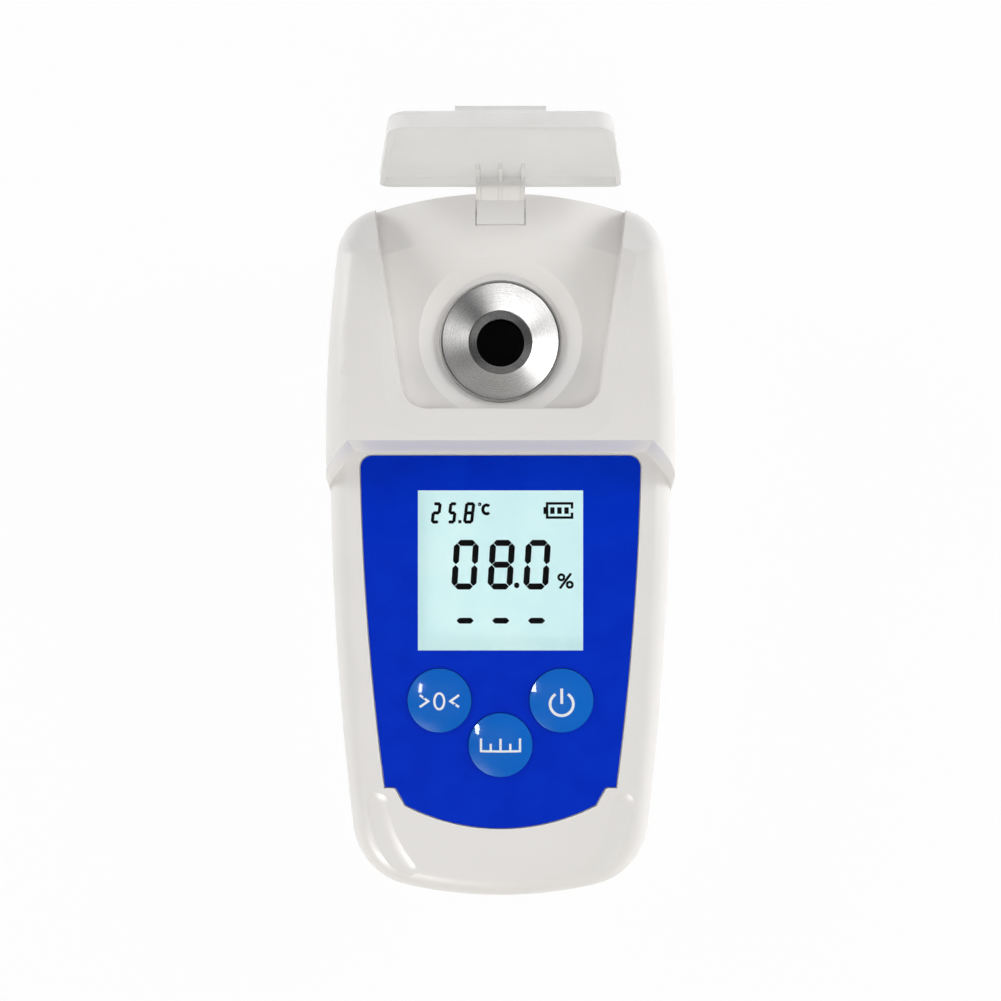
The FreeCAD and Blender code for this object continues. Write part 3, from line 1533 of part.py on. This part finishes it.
def write():
    os.makedirs("parts", exist_ok=True)
    for item in pieces:
        item.Shape.exportStep(f"parts/{item.Label}.step")


build()
check()
write()
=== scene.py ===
"""The finish of a pocket digital refractometer: materials, display, key symbols, light and camera.

Lengths in this file are in millimetres and are turned into metres where a mesh, a lamp or the
camera is made. The frame is that of the solids: origin on the flat back, +Z out of the face, +Y to
the lid's end, +X to the right of the display.
"""
import json
import math

import bmesh
import bpy
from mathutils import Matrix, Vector


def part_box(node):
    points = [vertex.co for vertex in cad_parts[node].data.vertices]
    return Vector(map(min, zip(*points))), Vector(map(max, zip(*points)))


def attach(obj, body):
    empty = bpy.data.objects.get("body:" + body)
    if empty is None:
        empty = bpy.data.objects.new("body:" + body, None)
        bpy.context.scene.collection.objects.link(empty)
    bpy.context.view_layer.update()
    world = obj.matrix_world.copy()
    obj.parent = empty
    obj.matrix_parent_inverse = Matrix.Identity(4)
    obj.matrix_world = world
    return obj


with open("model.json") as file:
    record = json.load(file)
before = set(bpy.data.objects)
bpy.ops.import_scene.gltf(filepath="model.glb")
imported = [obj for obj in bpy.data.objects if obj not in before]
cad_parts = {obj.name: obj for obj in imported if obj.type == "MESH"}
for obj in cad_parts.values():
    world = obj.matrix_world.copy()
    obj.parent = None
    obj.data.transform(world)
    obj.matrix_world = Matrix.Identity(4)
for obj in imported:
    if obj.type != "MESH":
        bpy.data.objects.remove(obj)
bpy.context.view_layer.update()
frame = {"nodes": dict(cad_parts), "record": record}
MM = 0.001

# Sizes and places that the finish shares with the solids
GLASS_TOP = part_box("display_glass")[1].z / MM
DISPLAY_Y = 7.5
KEY_RADIUS = 5.05
KEY_DOME = 0.65

# Where the lamps aim
BODY_MIDDLE = (0, 0, 20)
RING_MIDDLE = (0, 33, 18)
KEYS_MIDDLE = (0, -25, 20)

# The picture's width, the focal length and the display's middle in pixels, the camera's height in
# millimetres, and the millimetres of display glass that one pixel shows
PICTURE_WIDTH = 1001
FOCAL_LENGTH = 1134
DISPLAY_CENTRE = (501.0, 500.5)
CAMERA_HEIGHT = 200
DISPLAY_PIXEL = 1 / 6.25

# Printed marks: heights above the display's glass, half the thickness on a key and its line width
MARK_LOW = 0.005
MARK_HIGH = 0.06
SYMBOL_DEPTH = 0.02
SYMBOL_STROKE = 0.36
MERGE_DISTANCE = 1e-7


# Node trees
class Finish:
    """One material built round a single Principled shader."""

    def __init__(self, name, **values):
        self.material = bpy.data.materials.new(name)
        self.material.use_nodes = True
        self.tree = self.material.node_tree
        self.shader = self.tree.nodes["Principled BSDF"]
        for socket, value in values.items():
            self.shader.inputs[socket.replace("_", " ")].default_value = value

    def node(self, kind, inputs=None, **options):
        """Add a node, set its options, then set or link its inputs."""
        made = self.tree.nodes.new("ShaderNode" + kind)
        for option, value in options.items():
            setattr(made, option, value)
        for socket, value in (inputs or {}).items():
            if isinstance(value, bpy.types.NodeSocket):
                self.tree.links.new(value, made.inputs[socket])
            else:
                made.inputs[socket].default_value = value
        return made

    def position(self, centre=(0, 0, 0)):
        """The place on the object in millimetres, counted from a centre."""
        coordinates = self.node("TexCoord").outputs["Object"]
        scaled = self.node("VectorMath", {0: coordinates, "Scale": 1 / MM}, operation="SCALE")
        moved = self.node("VectorMath", {0: scaled.outputs[0], 1: centre}, operation="SUBTRACT")
        return moved.outputs[0]

    def noise(self, place, scale, detail=3.0, roughness=0.5):
        made = self.node("TexNoise", {"Vector": place, "Scale": scale, "Detail": detail,
                                      "Roughness": roughness})
        return made.outputs["Fac"]

    def spread(self, value, low, high, start=0.35, end=0.65):
        """Map a value's range onto another."""
        made = self.node("MapRange", {"Value": value, "From Min": start, "From Max": end,
                                      "To Min": low, "To Max": high})
        return made.outputs["Result"]

    def blend(self, share, first, second):
        """A colour between two colours."""
        made = self.node("Mix", data_type="RGBA")
        self.tree.links.new(share, made.inputs["Factor"])
        for socket, value in ((6, first), (7, second)):
            if isinstance(value, bpy.types.NodeSocket):
                self.tree.links.new(value, made.inputs[socket])
            else:
                made.inputs[socket].default_value = (*value, 1)
        return made.outputs[2]

    def link(self, value, socket):
        self.tree.links.new(value, self.shader.inputs[socket])

    def relief(self, height, depth, edge=0.0):
        """Relief from a height, over edges that are softened by a small radius."""
        inputs = {"Height": height, "Distance": depth * MM, "Strength": 1.0}
        if edge:
            inputs["Normal"] = self.node("Bevel", {"Radius": edge * MM}, samples=4).outputs[0]
        self.link(self.node("Bump", inputs).outputs[0], "Normal")


def moulded(name, colour, shade, roughness, grain=0.006, edge=0.12, **values):
    """Moulded plastic: a faint drift of tone, a fine grain and softened edges."""
    finish = Finish(name, **values)
    place = finish.position()
    drift = finish.spread(finish.noise(place, 0.045, 2.0), 0.0, 1.0)
    finish.link(finish.blend(drift, colour, shade), "Base Color")
    handled = finish.noise(place, 0.4, 4.0, 0.6)
    finish.link(finish.spread(handled, roughness - 0.04, roughness + 0.05), "Roughness")
    finish.relief(finish.noise(place, 5.0, 2.0), grain, edge)
    return finish.material


def turned(name, colour, dark, roughness, centre, anisotropy=0.8, pitch=9.0, depth=0.004):
    """Turned metal: fine grooves round one axis, and highlights that fan out from it."""
    finish = Finish(name, Metallic=1.0, Anisotropic=anisotropy, Roughness=roughness)
    place = finish.position(centre)
    flat = finish.node("VectorMath", {0: place, 1: (1, 1, 0)}, operation="MULTIPLY").outputs[0]
    radius = finish.node("VectorMath", {0: flat}, operation="LENGTH").outputs["Value"]
    grooves = finish.node("TexNoise", {"W": radius, "Scale": pitch, "Detail": 4.0, "Roughness": 0.75},
                          noise_dimensions="1D").outputs["Fac"]
    speckle = finish.noise(place, 7.0, 3.0, 0.7)
    mixed = finish.node("Math", {0: grooves, 1: speckle}, operation="ADD").outputs[0]
    finish.link(finish.blend(finish.spread(mixed, 0.0, 1.0, 0.8, 1.2), colour, dark), "Base Color")
    finish.link(finish.node("Tangent", direction_type="RADIAL", axis="Z").outputs[0], "Tangent")
    finish.relief(mixed, depth)
    return finish.material


def metal(name, colour, dark, roughness):
    """Plain drawn or plated metal with fine wear."""
    finish = Finish(name, Metallic=1.0)
    wear = finish.noise(finish.position(), 2.5, 5.0, 0.65)
    finish.link(finish.blend(finish.spread(wear, 0.0, 1.0), colour, dark), "Base Color")
    finish.link(finish.spread(wear, roughness - 0.06, roughness + 0.08), "Roughness")
    finish.relief(wear, 0.004, 0.05)
    return finish.material


def clear(name, colour, smeared, roughness, transmission=1.0, index=1.49, **values):
    """Clear or tinted glass and resin, with the faintest smears."""
    finish = Finish(name, Transmission_Weight=transmission, IOR=index, **values)
    smears = finish.noise(finish.position(), 0.25, 4.0, 0.6)
    finish.link(finish.blend(finish.spread(smears, 0.0, 1.0), colour, smeared), "Base Color")
    finish.link(finish.spread(smears, roughness, roughness + 0.01), "Roughness")
    return finish.material


def frosted(name):
    """The lid's frosted moulding: milky and a little see-through, but solid at its arm."""
    finish = Finish(name, IOR=1.49)
    place = finish.position()
    height = finish.node("SeparateXYZ", {0: place}).outputs["Z"]
    tray = finish.spread(height, 0.0, 1.0, 19.0, 21.0)
    cloud = finish.spread(finish.noise(place, 0.12, 3.0), 0.0, 1.0)
    clouded = finish.blend(cloud, (0.96, 0.955, 0.95), (0.92, 0.915, 0.91))
    finish.link(finish.blend(tray, (0.86, 0.85, 0.84), clouded), "Base Color")
    finish.link(finish.spread(tray, 0.0, 0.30, 0.0, 1.0), "Transmission Weight")
    finish.link(finish.spread(tray, 1.0, 0.85, 0.0, 1.0), "Alpha")
    frost = finish.noise(place, 6.0, 4.0, 0.7)
    finish.link(finish.spread(frost, 0.42, 0.58), "Roughness")
    finish.relief(frost, 0.01, 0.2)
    return finish.material


def film(name):
    """The printed blue film of the panel, with a painted highlight that makes it lighter towards its
    upper right.
    """
    finish = Finish(name, Specular_IOR_Level=0.03)
    place = finish.position((14.0, 14.0, 0.0))
    away = finish.node("VectorMath", {0: place}, operation="LENGTH").outputs["Value"]
    # Painted highlight: the film's blue is mixed towards a lighter blue near a spot at its upper right
    light = finish.spread(away, 1.0, 0.0, 2.0, 26.0)
    ground = finish.blend(finish.spread(finish.noise(place, 0.2, 3.0), 0.0, 1.0),
                          (0.0, 0.026, 0.54), (0.0, 0.031, 0.58))
    finish.link(finish.blend(light, ground, (0.001, 0.045, 0.63)), "Base Color")
    tooth = finish.noise(place, 9.0, 2.0)
    finish.link(finish.spread(tooth, 0.30, 0.38), "Roughness")
    finish.relief(tooth, 0.0015, 0.06)
    return finish.material


def lit_display(name):
    """The display's glass, lit from behind in pale cyan, with a faint drift in the glow."""
    finish = Finish(name, Roughness=0.35, Specular_IOR_Level=0.2, Emission_Strength=0.85)
    place = finish.position()
    drift = finish.spread(finish.noise(place, 0.09, 2.0), 0.0, 1.0)
    finish.link(finish.blend(drift, (0.22, 0.29, 0.30), (0.25, 0.31, 0.31)), "Base Color")
    finish.link(finish.blend(drift, (0.60, 0.86, 0.875), (0.66, 0.90, 0.89)), "Emission Color")
    return finish.material


def printed(name, colour, shade, roughness):
    """A thin printed ink."""
    finish = Finish(name, Specular_IOR_Level=0.05)
    speckle = finish.noise(finish.position(), 3.0, 3.0)
    finish.link(finish.blend(finish.spread(speckle, 0.0, 1.0), colour, shade), "Base Color")
    finish.link(finish.spread(speckle, roughness - 0.03, roughness + 0.03), "Roughness")
    return finish.material


def circuit_board(name):
    """Green solder mask with the faint lines of tracks under it."""
    finish = Finish(name, Roughness=0.4)
    place = finish.position()
    tracks = finish.node("TexBrick", {"Vector": place, "Scale": 0.6, "Mortar Size": 0.06,
                                      "Color1": (0.02, 0.17, 0.07, 1), "Color2": (0.02, 0.20, 0.08, 1),
                                      "Mortar": (0.03, 0.27, 0.11, 1)})
    finish.link(tracks.outputs["Color"], "Base Color")
    finish.relief(tracks.outputs["Fac"], 0.01)
    return finish.material


def shell_plastic():
    return moulded("shell_plastic", (0.825, 0.81, 0.795), (0.80, 0.785, 0.77), 0.36,
                   Coat_Weight=0.06, Coat_Roughness=0.15)


def dark_plastic():
    return moulded("dark_plastic", (0.025, 0.025, 0.027), (0.04, 0.04, 0.042), 0.5)


def key_plastic():
    return moulded("key_plastic", (0.001, 0.13, 0.59), (0.001, 0.145, 0.63), 0.2, grain=0.0003,
                   edge=0.25, Specular_IOR_Level=0.2, Coat_Weight=1.0, Coat_Roughness=0.03)


def make_materials():
    """One finish for each of the record's slots."""
    ring_low, ring_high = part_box("sample_ring")
    centre = (ring_low + ring_high) / 2 / MM
    return {
        "white_shell": shell_plastic(),
        "rubber_black": moulded("rubber_black", (0.02, 0.02, 0.02), (0.035, 0.035, 0.035), 0.7, 0.02),
        "screw_steel": metal("screw_steel", (0.62, 0.62, 0.63), (0.42, 0.42, 0.43), 0.25),
        "blue_film": film("blue_film"),
        "clear_window": clear("clear_window", (1.0, 1.0, 1.0), (0.985, 0.99, 0.99), 0.0,
                              index=1.35, Specular_IOR_Level=0.2),
        "key_blue": key_plastic(),
        "turned_steel": turned("turned_steel", (0.62, 0.615, 0.61), (0.30, 0.295, 0.29), 0.29,
                               tuple(centre)),
        "prism_glass": clear("prism_glass", (0.0015, 0.0015, 0.002), (0.003, 0.003, 0.0035), 0.04,
                             transmission=0.0, index=1.5, Specular_IOR_Level=0.15),
        "black_plastic": dark_plastic(),
        "lamp_resin": clear("lamp_resin", (0.95, 0.80, 0.45), (0.93, 0.80, 0.50), 0.03,
                            transmission=0.8),
        "lens_glass": clear("lens_glass", (0.97, 1.0, 0.99), (0.95, 0.98, 0.97), 0.01, index=1.52),
        "board_green": circuit_board("board_green"),
        "ribbon_film": moulded("ribbon_film", (0.75, 0.74, 0.70), (0.66, 0.65, 0.61), 0.45),
        "probe_bead": moulded("probe_bead", (0.05, 0.05, 0.05), (0.09, 0.08, 0.07), 0.3),
        "frosted_lid": frosted("frosted_lid"),
        "pin_steel": metal("pin_steel", (0.60, 0.60, 0.60), (0.45, 0.45, 0.45), 0.22),
        "cell_jacket": metal("cell_jacket", (0.42, 0.43, 0.45), (0.34, 0.35, 0.37), 0.3),
        "contact_metal": metal("contact_metal", (0.72, 0.71, 0.68), (0.55, 0.54, 0.51), 0.2),
        "display_glass": lit_display("display_glass"),
        "backlight_plastic": moulded("backlight_plastic", (0.78, 0.86, 0.88), (0.74, 0.83, 0.85), 0.3),
    }


def dress(materials):
    """Give every solid its finish."""
    slots = {entry["node"]: entry["material_slot"] for entry in frame["record"]["subparts"]}
    for name, item in frame["nodes"].items():
        item.data.materials.clear()
        item.data.materials.append(materials[slots[name]])


# Flat marks
def strip_mesh(name, strips, low, high):
    """A mesh of thin plates: each strip is a list of left and right points, run between two heights.

    low and high give a height for a point, so that a mark can follow a dome.
    """
    mesh = bmesh.new()
    for strip in strips:
        rings = []
        for left, right in strip:
            ring = [mesh.verts.new(Vector((x, y, height(x, y))) * MM)
                    for x, y, height in ((*left, low), (*right, low), (*right, high), (*left, high))]
            rings.append(ring)
        for first, second in zip(rings, rings[1:]):
            for corner in range(4):
                after = (corner + 1) % 4
                mesh.faces.new((first[corner], first[after], second[after], second[corner]))
        mesh.faces.new(list(reversed(rings[0])))
        mesh.faces.new(rings[-1])
    bmesh.ops.remove_doubles(mesh, verts=mesh.verts, dist=MERGE_DISTANCE)
    bmesh.ops.dissolve_degenerate(mesh, edges=mesh.edges, dist=MERGE_DISTANCE)
    bmesh.ops.recalc_face_normals(mesh, faces=mesh.faces)
    data = bpy.data.meshes.new(name)
    mesh.to_mesh(data)
    mesh.free()
    item = bpy.data.objects.new(name, data)
    bpy.context.scene.collection.objects.link(item)
    return item


def stroke(points, width):
    """The strip of a line of even width through some points."""
    spots = [Vector(point) for point in points]
    strip = []
    for index, spot in enumerate(spots):
        before = spots[max(index - 1, 0)]
        after = spots[min(index + 1, len(spots) - 1)]
        first = (spot - before).normalized() if spot != before else (after - spot).normalized()
        second = (after - spot).normalized() if spot != after else first
        along = (first + second).normalized()
        side = Vector((-along.y, along.x)) * (width / 2 / max(along.dot(first), 0.4))
        strip.append((tuple(spot + side), tuple(spot - side)))
    return strip


def arc(centre, radius, start, end, steps=28, squeeze=1.0):
    """Points of an arc, in degrees, with its width squeezed if asked."""
    spots = []
    for step in range(steps + 1):
        angle = math.radians(start + (end - start) * step / steps)
        x = centre[0] + radius * squeeze * math.cos(angle)
        spots.append((x, centre[1] + radius * math.sin(angle)))
    return spots


def bar(start, end, width, point=0.5):
    """A display segment: a bar whose ends come to a point over a share of its width."""
    first = Vector(start)
    last = Vector(end)
    along = (last - first).normalized()
    side = Vector((-along.y, along.x)) * (width / 2)
    nose = along * (width * point)
    return [
        (tuple(first), tuple(first)),
        (tuple(first + nose + side), tuple(first + nose - side)),
        (tuple(last - nose + side), tuple(last - nose - side)),
        (tuple(last), tuple(last)),
    ]


# Display
SEGMENTS = {
    "top": ((0, 2), (1, 2)),
    "upper_left": ((0, 1), (0, 2)),
    "upper_right": ((1, 1), (1, 2)),
    "middle": ((0, 1), (1, 1)),
    "lower_left": ((0, 0), (0, 1)),
    "lower_right": ((1, 0), (1, 1)),
    "bottom": ((0, 0), (1, 0)),
}
LIT = {
    "0": ("top", "upper_left", "upper_right", "lower_left", "lower_right", "bottom"),
    "2": ("top", "upper_right", "middle", "lower_left", "bottom"),
    "5": ("top", "upper_left", "middle", "lower_right", "bottom"),
    "8": tuple(SEGMENTS),
}


def on_display(x, y):
    """A place on the display's glass from a place in the picture's frame."""
    return ((x - DISPLAY_CENTRE[0]) * DISPLAY_PIXEL,
            DISPLAY_Y + (DISPLAY_CENTRE[1] - y) * DISPLAY_PIXEL)


def digit(figure, left, right, top, bottom, width, slant, gap, point=0.5):
    """The lit segments of one slanted figure that fills a box in the picture's frame."""
    half = width / 2
    height = bottom - top - width
    lean = slant * (bottom - top)
    span = right - left - width - lean

    def spot(column, row):
        y = bottom - half - row * height / 2
        return (left + half + column * span + slant * (bottom - y), y)

    strips = []
    for name in LIT[figure]:
        (column, row), (other_column, other_row) = SEGMENTS[name]
        start = Vector(spot(column, row))
        end = Vector(spot(other_column, other_row))
        along = (end - start).normalized()
        strips.append([(on_display(*one), on_display(*two))
                       for one, two in bar(start + along * gap, end - along * gap, width, point)])
    return strips


def picture_stroke(points, width):
    """A line on the display through places in the picture's frame."""
    return stroke([on_display(x, y) for x, y in points], width * DISPLAY_PIXEL)


def picture_ring(centre, radius, width, steps=12):
    """A ring on the display, in two halves."""
    halves = [arc(centre, radius, start, start + 180, steps) for start in (0, 180)]
    return [picture_stroke(half, width) for half in halves]


# Places of the marks in the picture's frame: left and right edges, rows and middles
LARGE_FIGURES = (("0", 451.5, 479.8), ("8", 487.6, 515.9), ("0", 523.4, 551.7))
LARGE_ROW = (539.9, 589.6)
LARGE_STROKE = 6.1
LARGE_POINT = (517.2, 585.4)
SMALL_FIGURES = (("2", 430.9, 442.4), ("5", 447.4, 458.2), ("8", 463.3, 476.0))
SMALL_ROW = (502.2, 523.6)
SMALL_STROKE = 3.2
SMALL_POINT = ((458.8, 521.7), (461.9, 521.7))
DASHES = ((456.9, 474.3), (492.6, 510.0), (528.4, 545.8))
DASH_ROW = 620.8
DASH_HEIGHT = 5.8
PERCENT_SLASH = ((560.4, 588.6), (571.6, 573.4))
PERCENT_RINGS = ((561.9, 577.4), (570.3, 584.8))
UNIT_STROKE = 2.5
DEGREE = (480.2, 504.3)
LETTER = (487.0, 509.4)
CHARGE_EDGES = (547.6, 572.6, 503.4, 517.6)
CHARGE_GAP = (508.6, 512.6)
CHARGE_BUTTON = ((545.7, 507.0), (545.7, 514.0))
CHARGE_BARS = (552.9, 560.0, 567.1)
CHARGE_BAR_ROW = (507.3, 513.9)


def reading():
    """The large figures with their point and the row of dashes under them."""
    strips = []
    for figure, left, right in LARGE_FIGURES:
        strips += digit(figure, left, right, *LARGE_ROW, LARGE_STROKE, slant=0.065, gap=0.35)
    strips += picture_ring(LARGE_POINT, radius=1.4, width=2.8)
    for left, right in DASHES:
        strips.append([(on_display(*one), on_display(*two)) for one, two in
                       bar((left, DASH_ROW), (right, DASH_ROW), DASH_HEIGHT)])
    return strips


def unit_marks():
    """The percent sign beside the large figures and the degree mark beside the small ones."""
    strips = [picture_stroke(PERCENT_SLASH, UNIT_STROKE)]
    for centre in PERCENT_RINGS:
        strips += picture_ring(centre, radius=2.8, width=UNIT_STROKE)
    strips += picture_ring(DEGREE, radius=1.1, width=1.5, steps=10)
    letter = arc(LETTER, radius=4.4, start=45, end=315, steps=20, squeeze=0.85)
    strips.append(picture_stroke(letter, width=3.1))
    return strips


def small_reading():
    """The small figures at the upper left."""
    strips = []
    for figure, left, right in SMALL_FIGURES:
        strips += digit(figure, left, right, *SMALL_ROW, SMALL_STROKE, slant=0.12, gap=-0.5, point=0.3)
    strips.append(picture_stroke(SMALL_POINT, width=3.1))
    return strips


def charge_mark():
    """A battery outline with three bars, its button to the left."""
    left, right, top, bottom = CHARGE_EDGES
    gap_top, gap_bottom = CHARGE_GAP
    outline = [(right, gap_top), (right, top), (left, top), (left, bottom), (right, bottom),
               (right, gap_bottom)]
    strips = [picture_stroke(outline, width=2.5)]
    strips.append(picture_stroke(CHARGE_BUTTON, width=3.4))
    for x in CHARGE_BARS:
        strips.append(picture_stroke([(x, y) for y in CHARGE_BAR_ROW], width=4.4))
    return strips


def display_marks(material):
    """All the dark marks, as thin plates on the display's glass."""
    groups = {"display_reading": reading, "display_units": unit_marks,
              "display_small_reading": small_reading, "display_charge": charge_mark}
    for name, make in groups.items():
        item = strip_mesh(name, make(), lambda x, y: GLASS_TOP + MARK_LOW,
                          lambda x, y: GLASS_TOP + MARK_HIGH)
        item.data.materials.append(material)
        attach(item, "housing")


# Key symbols
def zero_symbol():
    """A plain nought between two arrowheads."""
    strips = []
    for start in (-90, 90):
        half = arc((0, 0), radius=1.25, start=start, end=start + 180, steps=16, squeeze=0.62)
        strips.append(stroke(half, SYMBOL_STROKE))
    for side in (-1, 1):
        arrowhead = [(side * 3.1, 0.95), (side * 1.75, 0), (side * 3.1, -0.95)]
        strips.append(stroke(arrowhead, SYMBOL_STROKE))
    return strips


def scale_symbol():
    """A short graduated scale: a base line and five ticks, every other one short."""
    ticks = 5
    pitch = 1.54
    strips = [stroke([(x / 4, -0.85) for x in range(-13, 14)], width=0.34)]
    for number in range(ticks):
        x = (number - ticks // 2) * pitch
        top = 1.15 if number % 2 == 0 else 0.35
        strips.append(stroke([(x, -0.7), (x, top)], SYMBOL_STROKE))
    return strips


def power_symbol():
    """A broken ring with an upright bar in the gap."""
    width = 0.44
    ring = stroke(arc((0, -0.45), radius=1.83, start=122, end=418, steps=48), width)
    return [ring, stroke([(0, -0.4), (0, 0.9), (0, 2.0)], width)]


def key_marks(material):
    """A symbol printed on each key's dome."""
    dome = (KEY_RADIUS ** 2 + KEY_DOME ** 2) / (2 * KEY_DOME)
    symbols = {"zero": zero_symbol(), "measure": scale_symbol(), "power": power_symbol()}
    for name, strips in symbols.items():
        low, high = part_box(name + "_key")
        x = (low.x + high.x) / 2 / MM
        y = (low.y + high.y) / 2 / MM
        top = high.z / MM

        def surface(px, py, lift, x=x, y=y, top=top):
            return top - dome + math.sqrt(dome ** 2 - (px - x) ** 2 - (py - y) ** 2) + lift

        moved = [[((left[0] + x, left[1] + y), (right[0] + x, right[1] + y)) for left, right in strip]
                 for strip in strips]
        item = strip_mesh(name + "_symbol", moved,
                          lambda px, py, at=surface: at(px, py, -SYMBOL_DEPTH),
                          lambda px, py, at=surface: at(px, py, SYMBOL_DEPTH))
        item.data.materials.append(material)
        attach(item, name + "_key")


# Floor, light and camera
def white_when_seen(tree, shader, emission, share):
    """Mix a shader with plain white for the rays that show a background."""
    nodes = tree.nodes
    path = nodes.new("ShaderNodeLightPath")
    seen = path.outputs["Is Camera Ray"]
    for other in ("Is Glossy Ray", "Is Transmission Ray"):
        highest = nodes.new("ShaderNodeMath")
        highest.operation = "MAXIMUM"
        tree.links.new(seen, highest.inputs[0])
        tree.links.new(path.outputs[other], highest.inputs[1])
        seen = highest.outputs[0]
    scaled = nodes.new("ShaderNodeMath")
    scaled.operation = "MULTIPLY"
    scaled.inputs[1].default_value = share
    tree.links.new(seen, scaled.inputs[0])
    mix = nodes.new("ShaderNodeMixShader")
    tree.links.new(scaled.outputs[0], mix.inputs[0])
    tree.links.new(shader, mix.inputs[1])
    tree.links.new(emission, mix.inputs[2])
    return mix.outputs[0]


def make_floor(half_width=3000.0, drop=0.05, backdrop_share=0.95):
    """A pale floor just under the back, which looks white and still takes a shadow."""
    mesh = bmesh.new()
    bmesh.ops.create_grid(mesh, x_segments=1, y_segments=1, size=half_width * MM)
    data = bpy.data.meshes.new("floor")
    mesh.to_mesh(data)
    mesh.free()
    floor = bpy.data.objects.new("floor", data)
    floor.location.z = -drop * MM
    bpy.context.scene.collection.objects.link(floor)
    material = bpy.data.materials.new("floor")
    material.use_nodes = True
    tree = material.node_tree
    shader = tree.nodes["Principled BSDF"]
    shader.inputs["Base Color"].default_value = (0.86, 0.86, 0.86, 1)
    shader.inputs["Roughness"].default_value = 0.9
    glow = tree.nodes.new("ShaderNodeEmission")
    glow.inputs["Color"].default_value = (1, 1, 1, 1)
    mixed = white_when_seen(tree, shader.outputs[0], glow.outputs[0], backdrop_share)
    tree.links.new(mixed, tree.nodes["Material Output"].inputs[0])
    data.materials.append(material)


def make_world():
    """A pale horizon under a dimmer ceiling."""
    world = bpy.data.worlds.new("studio")
    bpy.context.scene.world = world
    world.use_nodes = True
    tree = world.node_tree
    direction = tree.nodes.new("ShaderNodeTexCoord").outputs["Generated"]
    split = tree.nodes.new("ShaderNodeSeparateXYZ")
    tree.links.new(direction, split.inputs[0])
    ramp = tree.nodes.new("ShaderNodeValToRGB")
    tree.links.new(split.outputs["Z"], ramp.inputs[0])
    horizon, ceiling = ramp.color_ramp.elements
    horizon.position = 0.1
    horizon.color = (1.0, 1.0, 1.0, 1)
    ceiling.position = 0.58
    ceiling.color = (0.09, 0.09, 0.092, 1)
    tree.links.new(ramp.outputs[0], tree.nodes["Background"].inputs["Color"])


def area_light(name, azimuth, tilt, distance, size, power, aim=BODY_MIDDLE, diffuse=True, glossy=True,
               colour=(1.0, 1.0, 1.0)):
    """A rectangular lamp: azimuth round from +X, tilt down from straight above, in degrees.

    The distance from its aim and its size are in millimetres, its power in watts.
    """
    data = bpy.data.lights.new(name, "AREA")
    data.shape = "RECTANGLE"
    data.size = size[0] * MM
    data.size_y = size[1] * MM
    data.energy = power
    data.color = colour
    item = bpy.data.objects.new(name, data)
    bpy.context.scene.collection.objects.link(item)
    turn = math.radians(azimuth)
    lean = math.radians(tilt)
    away = Vector((math.sin(lean) * math.cos(turn), math.sin(lean) * math.sin(turn), math.cos(lean)))
    item.location = (Vector(aim) + away * distance) * MM
    item.rotation_mode = "QUATERNION"
    item.rotation_quaternion = away.to_track_quat("Z", "Y")
    item.visible_camera = False
    item.visible_diffuse = diffuse
    item.visible_glossy = glossy
    item.visible_transmission = glossy


def make_lights():
    """Soft lamps for the plastic, then lamps for the ring and the keys that only reflections show."""
    area_light("overhead", 270, 10, 800, (420, 420), 1.7, glossy=False)
    area_light("key", 14, 48, 650, (420, 420), 0.5, glossy=False)
    area_light("edge_right", 25, 72, 700, (300, 240), 2.1, glossy=False)
    area_light("edge_left", 155, 72, 700, (300, 240), 1.9, glossy=False)
    area_light("front_fill", 270, 62, 700, (400, 200), 1.4, glossy=False, colour=(1.0, 0.95, 0.84))
    area_light("ring_right", 151, 48, 1000, (600, 240), 2.9, RING_MIDDLE, diffuse=False)
    area_light("ring_top", 242, 50, 1000, (440, 180), 7.6, RING_MIDDLE, diffuse=False)
    area_light("ring_lower_left", 50, 48, 1000, (200, 200), 0.16, RING_MIDDLE, diffuse=False)
    area_light("ring_left", 0, 48, 1000, (200, 240), 0.75, RING_MIDDLE, diffuse=False)
    area_light("key_glint", 174, 22, 900, (130, 46), 0.38, KEYS_MIDDLE, diffuse=False)


def make_camera():
    """Straight above the display, close enough to show the head's sides and the lid's inner face."""
    data = bpy.data.cameras.new("camera")
    data.sensor_width = 36.0
    data.lens = data.sensor_width * FOCAL_LENGTH / PICTURE_WIDTH
    data.clip_start = 0.01
    data.clip_end = 10.0
    camera = bpy.data.objects.new("camera", data)
    camera.location = Vector((0, DISPLAY_Y, CAMERA_HEIGHT)) * MM
    bpy.context.scene.collection.objects.link(camera)
    bpy.context.scene.camera = camera


materials = make_materials()
dress(materials)
display_marks(printed("display_ink", (0.002, 0.002, 0.003), (0.004, 0.004, 0.005), 0.6))
key_marks(printed("key_ink", (0.86, 0.90, 0.93), (0.80, 0.85, 0.89), 0.4))
make_floor()
make_world()
make_lights()
make_camera()
bpy.context.scene.view_settings.view_transform = "Standard"
